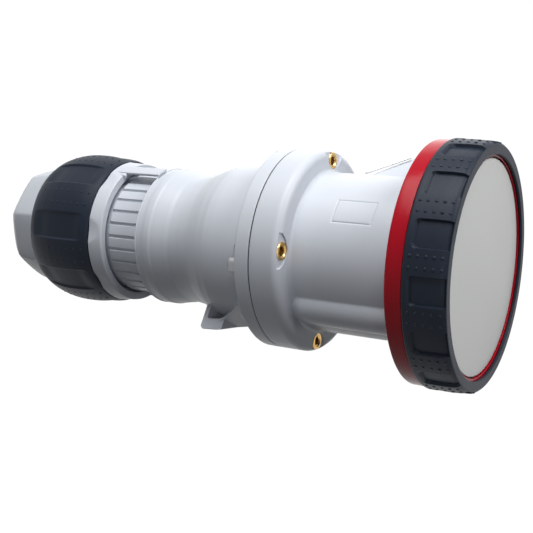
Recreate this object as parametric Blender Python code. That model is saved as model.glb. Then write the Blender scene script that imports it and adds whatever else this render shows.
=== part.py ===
"""A portable industrial connector, socket side, with its screwed cover and its cable gland.

Metres, +Z up. The connector lies along X: the cover's face is the plane x = 0 and looks along +X,
and the cable comes out of the gland at the far end. Angles round the axis are in degrees from
straight up, turning towards -Y.
"""

import math

import bmesh
import bpy
from mathutils import Matrix, Vector

MM = 0.001

# clearances
SEAT = 0.3 * MM          # between pieces that touch
RUN = 0.7 * MM           # round a piece that turns
EDGE = 0.8 * MM          # small broken edges

# locking ring and its soft grip
GRIP_PROUD = 1.5 * MM     # the grip above the red band
GRIP_WALL = 3.0 * MM
GRIP_LENGTH = 23.7 * MM
RIM_PROUD = 2.5 * MM     # the grip's front rim ahead of the cover's face
RED_WALL = 6.0 * MM
RED_BAND = 9.2 * MM
RING_PADS = 15
PAD_HALF_ANGLE = 6.1
PAD_DEPTH = 1.7 * MM
PAD_WALL_ANGLE = 0.9     # how far round a pad's side wall leans
GRIP_STEP = 4.0          # facets of the ring grip, in degrees
PAD_LENGTH = 19.0 * MM
FIRST_PAD = 36.0
RING_LUG_BITE = 2.8 * MM # how far the ring's lugs reach behind the housing's
RING_LUG_LENGTH = 6.5 * MM

# cover
COVER_PLATE = 4.0 * MM
COVER_SHOULDER = 2.0 * MM
COVER_SHOULDER_THICK = 3.3 * MM
SKIRT_WALL = 2.4 * MM
SKIRT_GAP = 1.4 * MM     # between the skirt and the nose
SKIRT_DEPTH = 12.0 * MM
LATCH_BEAD = 1.3 * MM

# nose, the bell-shaped front of the housing
NOSE_WALL = 5.6 * MM
NOSE_LENGTH = 21.0 * MM
COVER_TO_NOSE = 8.0 * MM
NOSE_SEAT_DEPTH = 13.5 * MM
NOSE_FLARE = 3.7 * MM    # the nose's seat beyond the body's own radius
LUG_PROUD = 1.7 * MM
LUG_LENGTH = 6.0 * MM
LUG_SETBACK = 6.0 * MM
LUG_HALF_ANGLE = 7.5
UNLOCK_ANGLE = 24.0      # how far the ring turns to lock

# front housing
BODY_RADIUS = 46.7 * MM
BODY_WALL = 3.3 * MM
BODY_LENGTH = 67.2 * MM  # from the back of the nose to the front flange
FLANGE_RADIUS = 59.7 * MM
FLANGE_ROUND = 5.0 * MM
FLANGE_FILLET = 3.2 * MM
FRONT_FLANGE = 17.4 * MM
KEY_ANGLE = 120.25
KEY_RADIUS = 12.5 * MM
KEY_CENTRE = 39.0 * MM
KEY_GROOVE_LENGTH = 62.0 * MM

# flange joint
GASKET = 1.0 * MM
GASKET_RADIUS = 58.9 * MM
SCREWS = 4
SCREW_ANGLE = -5.0
INSERT_ANGLE = 74.0
SCREW_CIRCLE = 53.2 * MM
SCREW_RADIUS = 2.5 * MM
SCREW_HEAD_RADIUS = 4.9 * MM
SCREW_HEAD = 5.6 * MM
INSERT_RADIUS = 4.9 * MM
INSERT_LENGTH = 13.0 * MM
INSERT_BORE = 2.8 * MM
SCREW_GRIP = 12.0 * MM   # how far a screw reaches into the front flange
SPOT_RADIUS = 10.4 * MM  # the mill that faces the flange round each insert
SPOT_CIRCLE = 59.6 * MM
SPOT_DEPTH = 0.9 * MM
POCKET_RADIUS = 8.5 * MM # room for a spanner round each screw head
POCKET_CIRCLE = 55.0 * MM
POCKET_LENGTH = 6.5 * MM

# rear housing
REAR_FLANGE = 8.6 * MM
BARREL_RADIUS = 48.1 * MM
BARREL_LENGTH = 81.5 * MM
SHOULDER_LENGTH = 27.0 * MM
WAIST_RADIUS = 40.2 * MM
WAIST_FROM_RIM = 25.0 * MM
BARREL_RIM = 42.9 * MM
RIPPLE = 0.35 * MM
REAR_WALL = 3.6 * MM
COLLAR_LENGTH = 24.2 * MM
COLLAR_RADIUS = 36.7 * MM
COLLAR_RIBS = 30
RIB_HEIGHT = 1.4 * MM
RIB_SHARE = 0.8
TAIL_LENGTH = 27.0 * MM
TAIL_BORE = 32.0 * MM
THREAD_RADIUS = 38.9 * MM
THREAD_LENGTH = 15.0 * MM

# hanging ear under the rear housing
EAR_ANGLE = 149.0
EAR_WIDTH = 28.0 * MM
EAR_REACH = 58.3 * MM
EAR_LENGTH = 35.0 * MM
EAR_BAR = 3.6 * MM
EAR_HOLE = 13.4 * MM     # the straight part of the hole, along the connector
EAR_FRONT_BAR = 13.0 * MM
EAR_SLOPE = 2.0 * MM
EAR_WEB = 16.0 * MM      # the web between the sloping bar and the flange

# hinge of the cover
HINGE_ANGLE = -62.0
HINGE_PROUD = 0.2 * MM   # the pin beyond the cover's edge
HINGE_BEHIND_RING = 4.1 * MM
KNUCKLE_RADIUS = 3.5 * MM
PIN_RADIUS = 1.6 * MM
EAR_OFFSET = 27.0 * MM
FORK_THICK = 5.0 * MM
FORK_RUN = 45.0 * MM
FORK_KNEE = 21.0 * MM
FORK_DROP = 7.2 * MM     # from the pin down to the knee
FORK_FOOT = 33.0 * MM
ARM_HALF_ANGLE = 14.0
ARM_THICK = 3.6 * MM

# contact carrier and contacts
CARRIER_RADIUS = 36.0 * MM
CARRIER_SETBACK = 6.0 * MM
CARRIER_BASE = 8.0 * MM
CARRIER_BASE_RADIUS = 45.2 * MM
CONTACT_CIRCLE = 24.0 * MM
CONTACT_BORE = 5.2 * MM
EARTH_BORE = 6.2 * MM
PILOT_BORE = 3.2 * MM
SLEEVE_WALL = 2.0 * MM
SLEEVE_LIP = 8.0 * MM    # carrier wall in front of the sleeves
SLEEVE_LENGTH = 62.0 * MM
TERMINAL_LENGTH = 22.0 * MM
CLAMP_SCREW_RADIUS = 2.5 * MM

# gland nut
NUT_LENGTH = 86.0 * MM
NUT_FRONT_RADIUS = 43.8 * MM
SCALLOP_RADIUS = 45.2 * MM
SCALLOP_DEPTH = 0.7 * MM
SCALLOPS = 8
SCALLOP_LENGTH = 9.2 * MM
NUT_MOUTH = 39.4 * MM
NUT_GRIP_LENGTH = 49.0 * MM
NUT_GRIP_RADIUS = 48.9 * MM
NUT_CORE_RADIUS = 41.8 * MM
NUT_PADS = 8
NUT_PAD_HALF_ANGLE = 10.5
NUT_FIRST_PAD = 27.75
NUT_PAD_DEPTH = 1.5 * MM
NUT_GRIP_STEP = 5.0
HUB_RADIUS = 38.2 * MM
HUB_END_RADIUS = 34.0 * MM
HUB_LOBE = 1.6 * MM
CABLE_RADIUS = 21.0 * MM
TONGUE_ANGLES = (13.0, 193.0)
TONGUE_HALF_ANGLE = 6.5
TONGUE_THICK = 2.6 * MM
TONGUE_OVER_RIM = 2.2 * MM
SEAL_LENGTH = 14.0 * MM
SEAL_BORE = 22.5 * MM
THRUST_THICK = 4.0 * MM

# places along X, all worked out from the lengths above
X_RING_FRONT = RIM_PROUD
X_GRIP_REAR = RIM_PROUD - GRIP_LENGTH
X_RING_REAR = X_GRIP_REAR - RED_BAND
X_NOSE = -COVER_TO_NOSE
X_NOSE_REAR = X_NOSE - NOSE_LENGTH
X_FLANGE = X_NOSE_REAR - BODY_LENGTH
X_SEAM = X_FLANGE - FRONT_FLANGE
X_REAR_SEAM = X_SEAM - GASKET - 2 * SEAT
X_BARREL = X_REAR_SEAM - REAR_FLANGE
X_RIM = X_BARREL - BARREL_LENGTH
X_COLLAR = X_RIM - COLLAR_LENGTH
X_TAIL = X_COLLAR - TAIL_LENGTH
X_NUT = X_COLLAR - SEAT
X_NUT_GRIP = X_NUT - SCALLOP_LENGTH
X_NUT_GRIP_REAR = X_NUT_GRIP - NUT_GRIP_LENGTH
X_NUT_REAR = X_NUT - NUT_LENGTH
X_HINGE = X_RING_REAR - HINGE_BEHIND_RING
X_CARRIER = X_NOSE - CARRIER_SETBACK
X_SEAL_REAR = X_TAIL - SEAT - SEAL_LENGTH
X_THRUST_REAR = X_SEAL_REAR - SEAT - THRUST_THICK
BODY_BORE = BODY_RADIUS - BODY_WALL
NOSE_SEAT_RADIUS = BODY_RADIUS + NOSE_FLARE
NOSE_RADIUS = NOSE_SEAT_RADIUS + NOSE_WALL
COVER_RADIUS = NOSE_RADIUS + SKIRT_GAP + SKIRT_WALL
LUG_TIP = COVER_RADIUS + LUG_PROUD
RING_LUG_TIP = LUG_TIP - RING_LUG_BITE
HINGE_RADIUS = COVER_RADIUS + HINGE_PROUD
FORK_KNEE_RADIUS = HINGE_RADIUS - FORK_DROP
RING_BORE = COVER_RADIUS + COVER_SHOULDER + RUN
RED_RADIUS = RING_BORE + RED_WALL
GRIP_RADIUS = RED_RADIUS + GRIP_PROUD


# Helpers

def around(x, radius, angle):
    """The point at a radius and an angle round the connector's axis."""
    turn = math.radians(angle)
    return Vector((x, -radius * math.sin(turn), radius * math.cos(turn)))


def outward(angle):
    """The direction straight away from the axis at an angle."""
    return around(0, 1, angle)


def sideways(angle):
    """The direction round the axis at an angle, towards larger angles."""
    return around(0, 1, angle + 90)


def soften(corners):
    """A closed outline whose corners (a, b, fillet) are rounded by arcs of their own fillet.

    A small fillet is one flat chamfer, and a large one gets more steps."""
    outline = []
    for i, (a, b, fillet) in enumerate(corners):
        here = Vector((a, b))
        if fillet <= 0:
            outline.append(tuple(here))
            continue
        back = Vector(corners[i - 1][:2]) - here
        ahead = Vector(corners[(i + 1) % len(corners)][:2]) - here
        room = 0.49 * min(back.length, ahead.length)
        back.normalize()
        ahead.normalize()
        half = back.angle(ahead) / 2
        reach = min(fillet / math.tan(half), room)
        radius = reach * math.tan(half)
        centre = here + (back + ahead).normalized() * (radius / math.sin(half))
        start = here + back * reach - centre
        end = here + ahead * reach - centre
        sweep = start.angle_signed(end)
        steps = max(1, round(math.sqrt(fillet / EDGE) * abs(sweep) / math.radians(90)))
        for k in range(steps + 1):
            turned = start.copy()
            turned.rotate(Matrix.Rotation(-sweep * k / steps, 2))
            outline.append(tuple(centre + turned))
    return outline


def finish(name, colour, roughness, metallic=0.0):
    """A material with one plain finish."""
    material = bpy.data.materials.new(name)
    material.use_nodes = True
    shader = material.node_tree.nodes["Principled BSDF"]
    shader.inputs["Base Color"].default_value = (*colour, 1)
    shader.inputs["Roughness"].default_value = roughness
    shader.inputs["Metallic"].default_value = metallic
    return material


def spin_outline(mesh, outline, facets, centre=(0, 0), shape=None, start=0.0):
    """Turns a closed outline of (x, radius) points round an axis along X, and closes it."""
    before = set(mesh.verts)
    corners = [mesh.verts.new(around(x, max(r, 0), start)) for x, r in outline]
    edges = []
    for a, b in zip(corners, corners[1:] + corners[:1]):
        if max(a.co.yz.length, b.co.yz.length) > 1e-9:
            edges.append(mesh.edges.new((a, b)))
    bmesh.ops.spin(mesh, geom=corners + edges, cent=(0, 0, 0), axis=(1, 0, 0), dvec=(0, 0, 0),
                   angle=2 * math.pi, steps=facets, use_merge=True)
    made = [v for v in mesh.verts if v not in before]
    bmesh.ops.remove_doubles(mesh, verts=made, dist=1e-6)
    made = [v for v in mesh.verts if v not in before]
    for v in made:
        radius = math.hypot(v.co.y, v.co.z)
        if shape and radius > 1e-6:
            angle = math.degrees(math.atan2(-v.co.y, v.co.z)) % 360
            v.co = around(v.co.x, *shape(v.co.x, radius, angle))
        v.co += Vector((0, centre[0], centre[1]))


def skin(mesh, loops):
    """Joins a run of like loops of points into one solid with a flat cap at each end."""
    rings = [[mesh.verts.new(p) for p in loop] for loop in loops]
    for first, second in zip(rings, rings[1:]):
        count = len(first)
        for k in range(count):
            n = (k + 1) % count
            mesh.faces.new((first[k], first[n], second[n], second[k]))
    mesh.faces.new(rings[0])
    mesh.faces.new(list(reversed(rings[-1])))


def arc_block(mesh, x_rear, x_front, low, high, angle, half_angle, steps=4):
    """A block that follows the round, between two radii and over an angle."""
    loops = []
    for k in range(steps + 1):
        at = angle - half_angle + 2 * half_angle * k / steps
        loops.append([around(x_rear, low, at), around(x_front, low, at),
                      around(x_front, high, at), around(x_rear, high, at)])
    skin(mesh, loops)


def rod(mesh, x_rear, x_front, radius, centre_radius=0.0, angle=0.0, sides=16):
    """A round bar along X."""
    centre = around(0, centre_radius, angle)
    outline = [(x_rear, 0), (x_rear, radius), (x_front, radius), (x_front, 0)]
    spin_outline(mesh, outline, sides, (centre.y, centre.z))


def cross_bar(mesh, centre, direction, half_length, radius, sides=16):
    """A round bar through a point, along any direction."""
    turn = Vector(direction).to_track_quat("Z", "Y").to_matrix().to_4x4()
    bmesh.ops.create_cone(mesh, cap_ends=True, segments=sides, radius1=radius, radius2=radius,
                          depth=2 * half_length, matrix=Matrix.Translation(centre) @ turn)


def plate(mesh, outline, angle, side_from, side_to):
    """An outline of (x, radius) points in the plane through the axis, made thick sideways."""
    out, side = outward(angle), sideways(angle)
    loops = [[Vector((x, 0, 0)) + out * r + side * s for x, r in outline] for s in (side_from, side_to)]
    skin(mesh, loops)


def solid(name, mesh, material, parent=None, helper=False):
    """Puts a finished mesh into the scene as one named object."""
    bmesh.ops.recalc_face_normals(mesh, faces=mesh.faces)
    data = bpy.data.meshes.new(name)
    mesh.to_mesh(data)
    mesh.free()
    data.materials.append(material)
    data.shade_smooth()
    data.set_sharp_from_angle(angle=math.radians(35))
    piece = bpy.data.objects.new(name, data)
    bpy.context.scene.collection.objects.link(piece)
    if parent:
        piece.parent = parent
        piece.location = -parent.location
    if helper:
        piece.hide_render = True
        piece.display_type = "WIRE"
    return piece


def combine(piece, tool, operation):
    """Adds or cuts one solid with another, exactly."""
    change = piece.modifiers.new(operation.title(), "BOOLEAN")
    change.operation = operation
    change.solver = "EXACT"
    change.object = tool


def pivot(name, place):
    """An empty on a joint's axis, for the pieces that move with it."""
    empty = bpy.data.objects.new(name, None)
    empty.location = place
    bpy.context.scene.collection.objects.link(empty)
    return empty


def turned(name, outline, facets, material, parent=None, shape=None, start=0.0, helper=False):
    """One turned piece on the connector's own axis."""
    mesh = bmesh.new()
    spin_outline(mesh, outline, facets, shape=shape, start=start)
    return solid(name, mesh, material, parent, helper)


def pad_shape(radius, angle, first, count, half_angle, depth, step):
    """A surface point beside or in one of the pads sunk at equal pitch: its radius and its angle.

    The two facets beside a pad's edge are drawn together, so that the pad has a steep wall."""
    pitch = 360 / count
    off = (angle - first + pitch / 2) % pitch - pitch / 2
    if abs(off) < half_angle:
        edge = half_angle - abs(off) < step
        return radius - depth, angle + (math.copysign(half_angle, off) - off if edge else 0)
    if abs(off) < half_angle + step:
        return radius, angle + math.copysign(half_angle + PAD_WALL_ANGLE, off) - off
    return radius, angle


def quarters(first):
    """The angles of the screws or of the inserts, at equal pitch."""
    return [first + 360 / SCREWS * k for k in range(SCREWS)]


for old in list(bpy.data.objects):
    bpy.data.objects.remove(old, do_unlink=True)

HINGE_POINT = around(X_HINGE, HINGE_RADIUS, HINGE_ANGLE)
HINGE_LINE = sideways(HINGE_ANGLE)

GREY = finish("housing_grey", (0.52, 0.55, 0.60), 0.42)
COVER_GREY = finish("cover_grey", (0.66, 0.66, 0.62), 0.45)
RED = finish("ring_red", (0.42, 0.01, 0.035), 0.32)
SOFT = finish("grip_dark", (0.03, 0.035, 0.05), 0.6)
BLACK = finish("seal_black", (0.015, 0.015, 0.016), 0.7)
BRASS = finish("brass", (0.75, 0.52, 0.22), 0.28, 1.0)
STEEL = finish("steel", (0.6, 0.6, 0.6), 0.3, 1.0)
CARRIER = finish("carrier_dark", (0.05, 0.05, 0.055), 0.5)

cover_pivot = pivot("cover_pivot", HINGE_POINT)
nut_pivot = pivot("nut_pivot", Vector((X_NUT, 0, 0)))


# Front housing: flange, body with its key ridge, bell-shaped nose with two lugs, hinge fork

def front_housing():
    outline = soften([
        (X_SEAM, 0, 0),
        (X_SEAM, FLANGE_RADIUS, EDGE),
        (X_FLANGE, FLANGE_RADIUS, FLANGE_ROUND),
        (X_FLANGE, BODY_RADIUS, FLANGE_FILLET),
        (X_NOSE_REAR, BODY_RADIUS, 1.5 * MM),
        (X_NOSE_REAR, NOSE_RADIUS, 1.5 * MM),
        (X_NOSE, NOSE_RADIUS, EDGE),
        (X_NOSE, 0, 0),
    ])
    housing = turned("front_housing", outline, 44, GREY)

    added = bmesh.new()
    rod(added, X_FLANGE - EDGE, X_NOSE_REAR + EDGE, KEY_RADIUS, KEY_CENTRE, KEY_ANGLE, 24)
    combine(housing, solid("key_ridge", added, GREY, helper=True), "UNION")

    added = bmesh.new()
    lug_front = X_NOSE - LUG_SETBACK
    for side in (-90, 90):
        arc_block(added, lug_front - LUG_LENGTH, lug_front, NOSE_RADIUS - BODY_WALL, LUG_TIP,
                  HINGE_ANGLE + side, LUG_HALF_ANGLE)
    fork = [(X_HINGE - FORK_RUN, FORK_FOOT), (X_HINGE - FORK_KNEE, FORK_KNEE_RADIUS)]
    for k in range(9):
        turn = math.radians(115 - 200 * k / 8)
        fork.append((X_HINGE + KNUCKLE_RADIUS * math.cos(turn), HINGE_RADIUS + KNUCKLE_RADIUS * math.sin(turn)))
    fork.append((X_HINGE - FORK_KNEE / 2, FORK_FOOT))
    near, far = EAR_OFFSET - FORK_THICK / 2, EAR_OFFSET + FORK_THICK / 2
    plate(added, fork, HINGE_ANGLE, near, far)
    plate(added, fork, HINGE_ANGLE, -far, -near)
    combine(housing, solid("lugs_and_fork", added, GREY, helper=True), "UNION")

    removed = bmesh.new()
    for angle in quarters(INSERT_ANGLE):
        rod(removed, X_FLANGE - SPOT_DEPTH, X_FLANGE + FLANGE_FILLET + EDGE, SPOT_RADIUS, SPOT_CIRCLE, angle, 24)
    combine(housing, solid("spot_faces", removed, GREY, helper=True), "DIFFERENCE")
    removed = bmesh.new()
    for angle in quarters(INSERT_ANGLE):
        hole_end = X_FLANGE - SPOT_DEPTH - INSERT_LENGTH
        rod(removed, hole_end, X_FLANGE + EDGE, INSERT_RADIUS + SEAT, SCREW_CIRCLE, angle, 14)
    for angle in quarters(SCREW_ANGLE):
        rod(removed, X_SEAM - EDGE, X_SEAM + SCREW_GRIP + 2 * SEAT, SCREW_RADIUS + SEAT, SCREW_CIRCLE, angle, 12)
    cross_bar(removed, HINGE_POINT, HINGE_LINE, EAR_OFFSET + FORK_THICK, PIN_RADIUS + SEAT, 12)
    rod(removed, X_NOSE - KEY_GROOVE_LENGTH, X_NOSE + EDGE, KEY_RADIUS - BODY_WALL, KEY_CENTRE, KEY_ANGLE, 20)
    combine(housing, solid("key_groove_and_holes", removed, GREY, helper=True), "DIFFERENCE")

    seat = X_NOSE - NOSE_SEAT_DEPTH
    base_front = X_SEAM + CARRIER_BASE + SEAT
    base_bore = CARRIER_BASE_RADIUS + SEAT
    bore = [(X_SEAM - EDGE, 0), (X_SEAM - EDGE, base_bore), (base_front, base_bore), (base_front, BODY_BORE),
            (seat, BODY_BORE), (seat, NOSE_SEAT_RADIUS), (X_NOSE + EDGE, NOSE_SEAT_RADIUS), (X_NOSE + EDGE, 0)]
    combine(housing, turned("housing_bore", bore, 44, GREY, helper=True), "DIFFERENCE")



# Flange joint: gasket, brass inserts in the front flange, screws from the rear

def flange_joint():
    rear, front = X_REAR_SEAM + SEAT, X_SEAM - SEAT
    outline = [(rear, CARRIER_BASE_RADIUS), (rear, GASKET_RADIUS),
               (front, GASKET_RADIUS), (front, CARRIER_BASE_RADIUS)]
    gasket = turned("flange_gasket", outline, 44, BLACK)
    removed = bmesh.new()
    for angle in quarters(SCREW_ANGLE):
        rod(removed, rear - EDGE, front + EDGE, SCREW_RADIUS + SEAT, SCREW_CIRCLE, angle, 12)
    combine(gasket, solid("gasket_holes", removed, BLACK, helper=True), "DIFFERENCE")

    insert_front = X_FLANGE - SPOT_DEPTH + SEAT
    insert_rear = insert_front - INSERT_LENGTH
    bore = INSERT_BORE
    for number, angle in enumerate(quarters(INSERT_ANGLE), 1):
        centre = around(0, SCREW_CIRCLE, angle)
        insert = bmesh.new()
        outline = [(insert_rear, bore), (insert_rear, INSERT_RADIUS), (insert_front - EDGE, INSERT_RADIUS),
                   (insert_front, INSERT_RADIUS - EDGE), (insert_front, bore + EDGE), (insert_front - EDGE, bore)]
        spin_outline(insert, outline, 14, (centre.y, centre.z))
        solid(f"threaded_insert_{number}", insert, BRASS)

    for number, angle in enumerate(quarters(SCREW_ANGLE), 1):
        centre = around(0, SCREW_CIRCLE, angle)
        screw = bmesh.new()
        head_front = X_BARREL - SEAT
        outline = [(head_front - SCREW_HEAD, 0), (head_front - SCREW_HEAD, SCREW_HEAD_RADIUS - EDGE),
                   (head_front - SCREW_HEAD + EDGE, SCREW_HEAD_RADIUS), (head_front, SCREW_HEAD_RADIUS),
                   (head_front, SCREW_RADIUS), (X_SEAM + SCREW_GRIP, SCREW_RADIUS), (X_SEAM + SCREW_GRIP, 0)]
        spin_outline(screw, outline, 12, (centre.y, centre.z))
        solid(f"flange_screw_{number}", screw, STEEL)


# Rear housing: flange, waisted barrel, ribbed collar, threaded tail, hanging ear

def rear_housing():
    waist = X_RIM + WAIST_FROM_RIM
    shoulder = X_BARREL - SHOULDER_LENGTH
    middle = (shoulder + waist) / 2
    middle_radius = (BARREL_RADIUS + WAIST_RADIUS) / 2
    thread_front = X_TAIL + THREAD_LENGTH
    outline = soften([
        (X_REAR_SEAM, 0, 0),
        (X_REAR_SEAM, FLANGE_RADIUS, EDGE),
        (X_BARREL, FLANGE_RADIUS, EDGE),
        (X_BARREL, BARREL_RADIUS, 2.5 * MM),
        (shoulder, BARREL_RADIUS, 14 * MM),
        (middle, middle_radius + RIPPLE, 0),
        (middle - RIPPLE, middle_radius - RIPPLE, 0),
        (waist + 6 * MM, WAIST_RADIUS + RIPPLE, 8 * MM),
        (waist, WAIST_RADIUS, 0),
        (waist - 7 * MM, WAIST_RADIUS + 2 * RIPPLE, 10 * MM),
        (X_RIM + 4 * MM, BARREL_RIM, 3 * MM),
        (X_RIM, BARREL_RIM, EDGE),
        (X_RIM, COLLAR_RADIUS, 0),
        (thread_front, COLLAR_RADIUS, 0),
        (thread_front - EDGE, THREAD_RADIUS, 0),
        (X_TAIL + EDGE, THREAD_RADIUS, 0),
        (X_TAIL, THREAD_RADIUS - EDGE, 0),
        (X_TAIL, 0, 0),
    ])
    housing = turned("rear_housing", outline, 44, GREY)

    added = bmesh.new()
    rib_half = 180 / COLLAR_RIBS * RIB_SHARE
    for k in range(COLLAR_RIBS):
        arc_block(added, X_COLLAR, X_RIM + EDGE, COLLAR_RADIUS - RIB_HEIGHT, COLLAR_RADIUS + RIB_HEIGHT,
                  360 / COLLAR_RIBS * k, rib_half, 1)
    combine(housing, solid("collar_ribs", added, GREY, helper=True), "UNION")

    rear = X_BARREL - EAR_LENGTH
    root = WAIST_RADIUS - REAR_WALL + EDGE
    inner = EAR_REACH - EAR_BAR
    hole_rear = rear + EAR_BAR
    hole_front = hole_rear + EAR_HOLE
    bar_top = hole_front + EAR_FRONT_BAR
    sunk = BARREL_RADIUS - 2 * MM
    outline = soften([
        (rear + EAR_SLOPE, root, 0), (rear, EAR_REACH, 2.5 * MM), (hole_front + EAR_SLOPE, EAR_REACH, 9 * MM),
        (X_BARREL + EDGE, BARREL_RADIUS - EDGE, 0), (X_BARREL + EDGE, root, 0), (bar_top, root, 0),
        (bar_top, sunk, 0), (hole_front, inner, 8 * MM), (hole_rear, inner, 1.5 * MM),
        (hole_rear + EAR_SLOPE, root, 0),
    ])
    added = bmesh.new()
    plate(added, outline, EAR_ANGLE, -EAR_WIDTH / 2, EAR_WIDTH / 2)
    combine(housing, solid("ear_rim", added, GREY, helper=True), "UNION")
    foot = EAR_REACH - EDGE / 2
    outline = [(hole_front + EDGE, foot), (X_BARREL + EDGE, foot), (X_BARREL + EDGE, sunk), (bar_top + EDGE, sunk),
               (hole_front + EDGE, inner + EDGE)]
    added = bmesh.new()
    plate(added, outline, EAR_ANGLE, -EAR_WEB / 2, EAR_WEB / 2)
    combine(housing, solid("ear_web", added, GREY, helper=True), "UNION")

    bore = BARREL_RADIUS - REAR_WALL
    inside = [(X_TAIL - EDGE, 0), (X_TAIL - EDGE, TAIL_BORE), (X_RIM, TAIL_BORE), (waist, WAIST_RADIUS - REAR_WALL),
              (shoulder, bore), (X_REAR_SEAM + EDGE, bore), (X_REAR_SEAM + EDGE, 0)]
    combine(housing, turned("barrel_bore", inside, 44, GREY, helper=True), "DIFFERENCE")

    removed = bmesh.new()
    for angle in quarters(SCREW_ANGLE):
        rod(removed, X_BARREL - POCKET_LENGTH, X_BARREL - EDGE / 4, POCKET_RADIUS, POCKET_CIRCLE, angle, 16)
    combine(housing, solid("screw_pockets", removed, GREY, helper=True), "DIFFERENCE")
    removed = bmesh.new()
    for angle in quarters(SCREW_ANGLE):
        rod(removed, X_BARREL - EDGE, X_REAR_SEAM + EDGE, SCREW_RADIUS + SEAT, SCREW_CIRCLE, angle, 12)
    combine(housing, solid("screw_holes", removed, GREY, helper=True), "DIFFERENCE")


# Contact carrier, its six contacts and their clamping screws

def contact_places():
    """Name, angle, circle radius and bore of each contact; the earth contact faces the key."""
    names = ["contact_earth", "contact_l1", "contact_l2", "contact_l3", "contact_n"]
    places = []
    for k, name in enumerate(names):
        bore = EARTH_BORE if k == 0 else CONTACT_BORE
        places.append((name, KEY_ANGLE + 72 * k, CONTACT_CIRCLE, bore))
    places.append(("contact_pilot", KEY_ANGLE, 0.0, PILOT_BORE))
    return places


def contact_carrier():
    base_front = X_SEAM + CARRIER_BASE
    base_rear = X_SEAM + SEAT
    outline = soften([(base_rear, 0, 0), (base_rear, CARRIER_BASE_RADIUS, 0),
                      (base_front, CARRIER_BASE_RADIUS, 0), (base_front, CARRIER_RADIUS, 0),
                      (X_CARRIER, CARRIER_RADIUS, 2 * EDGE), (X_CARRIER, 0, 0)])
    carrier = turned("contact_carrier", outline, 36, CARRIER)
    removed = bmesh.new()
    for name, angle, circle, bore in contact_places():
        centre = around(0, circle, angle)
        place = (centre.y, centre.z)
        sleeve_front = X_CARRIER - SLEEVE_LIP
        sleeve = bore + SLEEVE_WALL
        hole = [(base_rear - EDGE, 0), (base_rear - EDGE, sleeve + SEAT), (sleeve_front, sleeve + SEAT),
                (sleeve_front, bore), (X_CARRIER - EDGE, bore), (X_CARRIER + EDGE, bore + 2 * EDGE),
                (X_CARRIER + EDGE, 0)]
        spin_outline(removed, hole, 14, place)
        rear = base_rear - TERMINAL_LENGTH
        front, bottom = sleeve_front - SEAT, sleeve_front - SEAT - SLEEVE_LENGTH
        terminal_end = rear + TERMINAL_LENGTH - 2 * SLEEVE_WALL
        outline = [(rear, bore - EDGE), (rear, sleeve), (front, sleeve), (front, bore - EDGE),
                   (bottom, bore - EDGE), (bottom, 0), (terminal_end, 0), (terminal_end, bore - EDGE)]
        contact = bmesh.new()
        spin_outline(contact, outline, 14, place)
        piece = solid(name, contact, BRASS)
        clamp_centre = around(rear + TERMINAL_LENGTH / 3, circle, angle)
        up = outward(angle)
        cut = bmesh.new()
        cross_bar(cut, clamp_centre + up * sleeve, up, sleeve, CLAMP_SCREW_RADIUS * bore / CONTACT_BORE + SEAT, 10)
        combine(piece, solid(name + "_screw_hole", cut, BRASS, helper=True), "DIFFERENCE")
        reach = sleeve + EDGE
        screw = bmesh.new()
        cross_bar(screw, clamp_centre + up * (reach + bore / 2) / 2, up, (reach - bore / 2) / 2,
                  CLAMP_SCREW_RADIUS * bore / CONTACT_BORE, 10)
        solid(name.replace("contact", "clamp_screw"), screw, STEEL)
    combine(carrier, solid("contact_holes", removed, CARRIER, helper=True), "DIFFERENCE")


# Locking ring with two inner lugs, and the soft grip moulded round it

def grip_shape(x, radius, angle):
    """Sinks the ring grip's pads, which run out through its front edge."""
    if radius < GRIP_RADIUS - 2 * GRIP_WALL / 3 or X_RING_FRONT - x > PAD_LENGTH:
        return radius, angle
    return pad_shape(radius, angle, FIRST_PAD, RING_PADS, PAD_HALF_ANGLE, PAD_DEPTH, GRIP_STEP)


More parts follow.
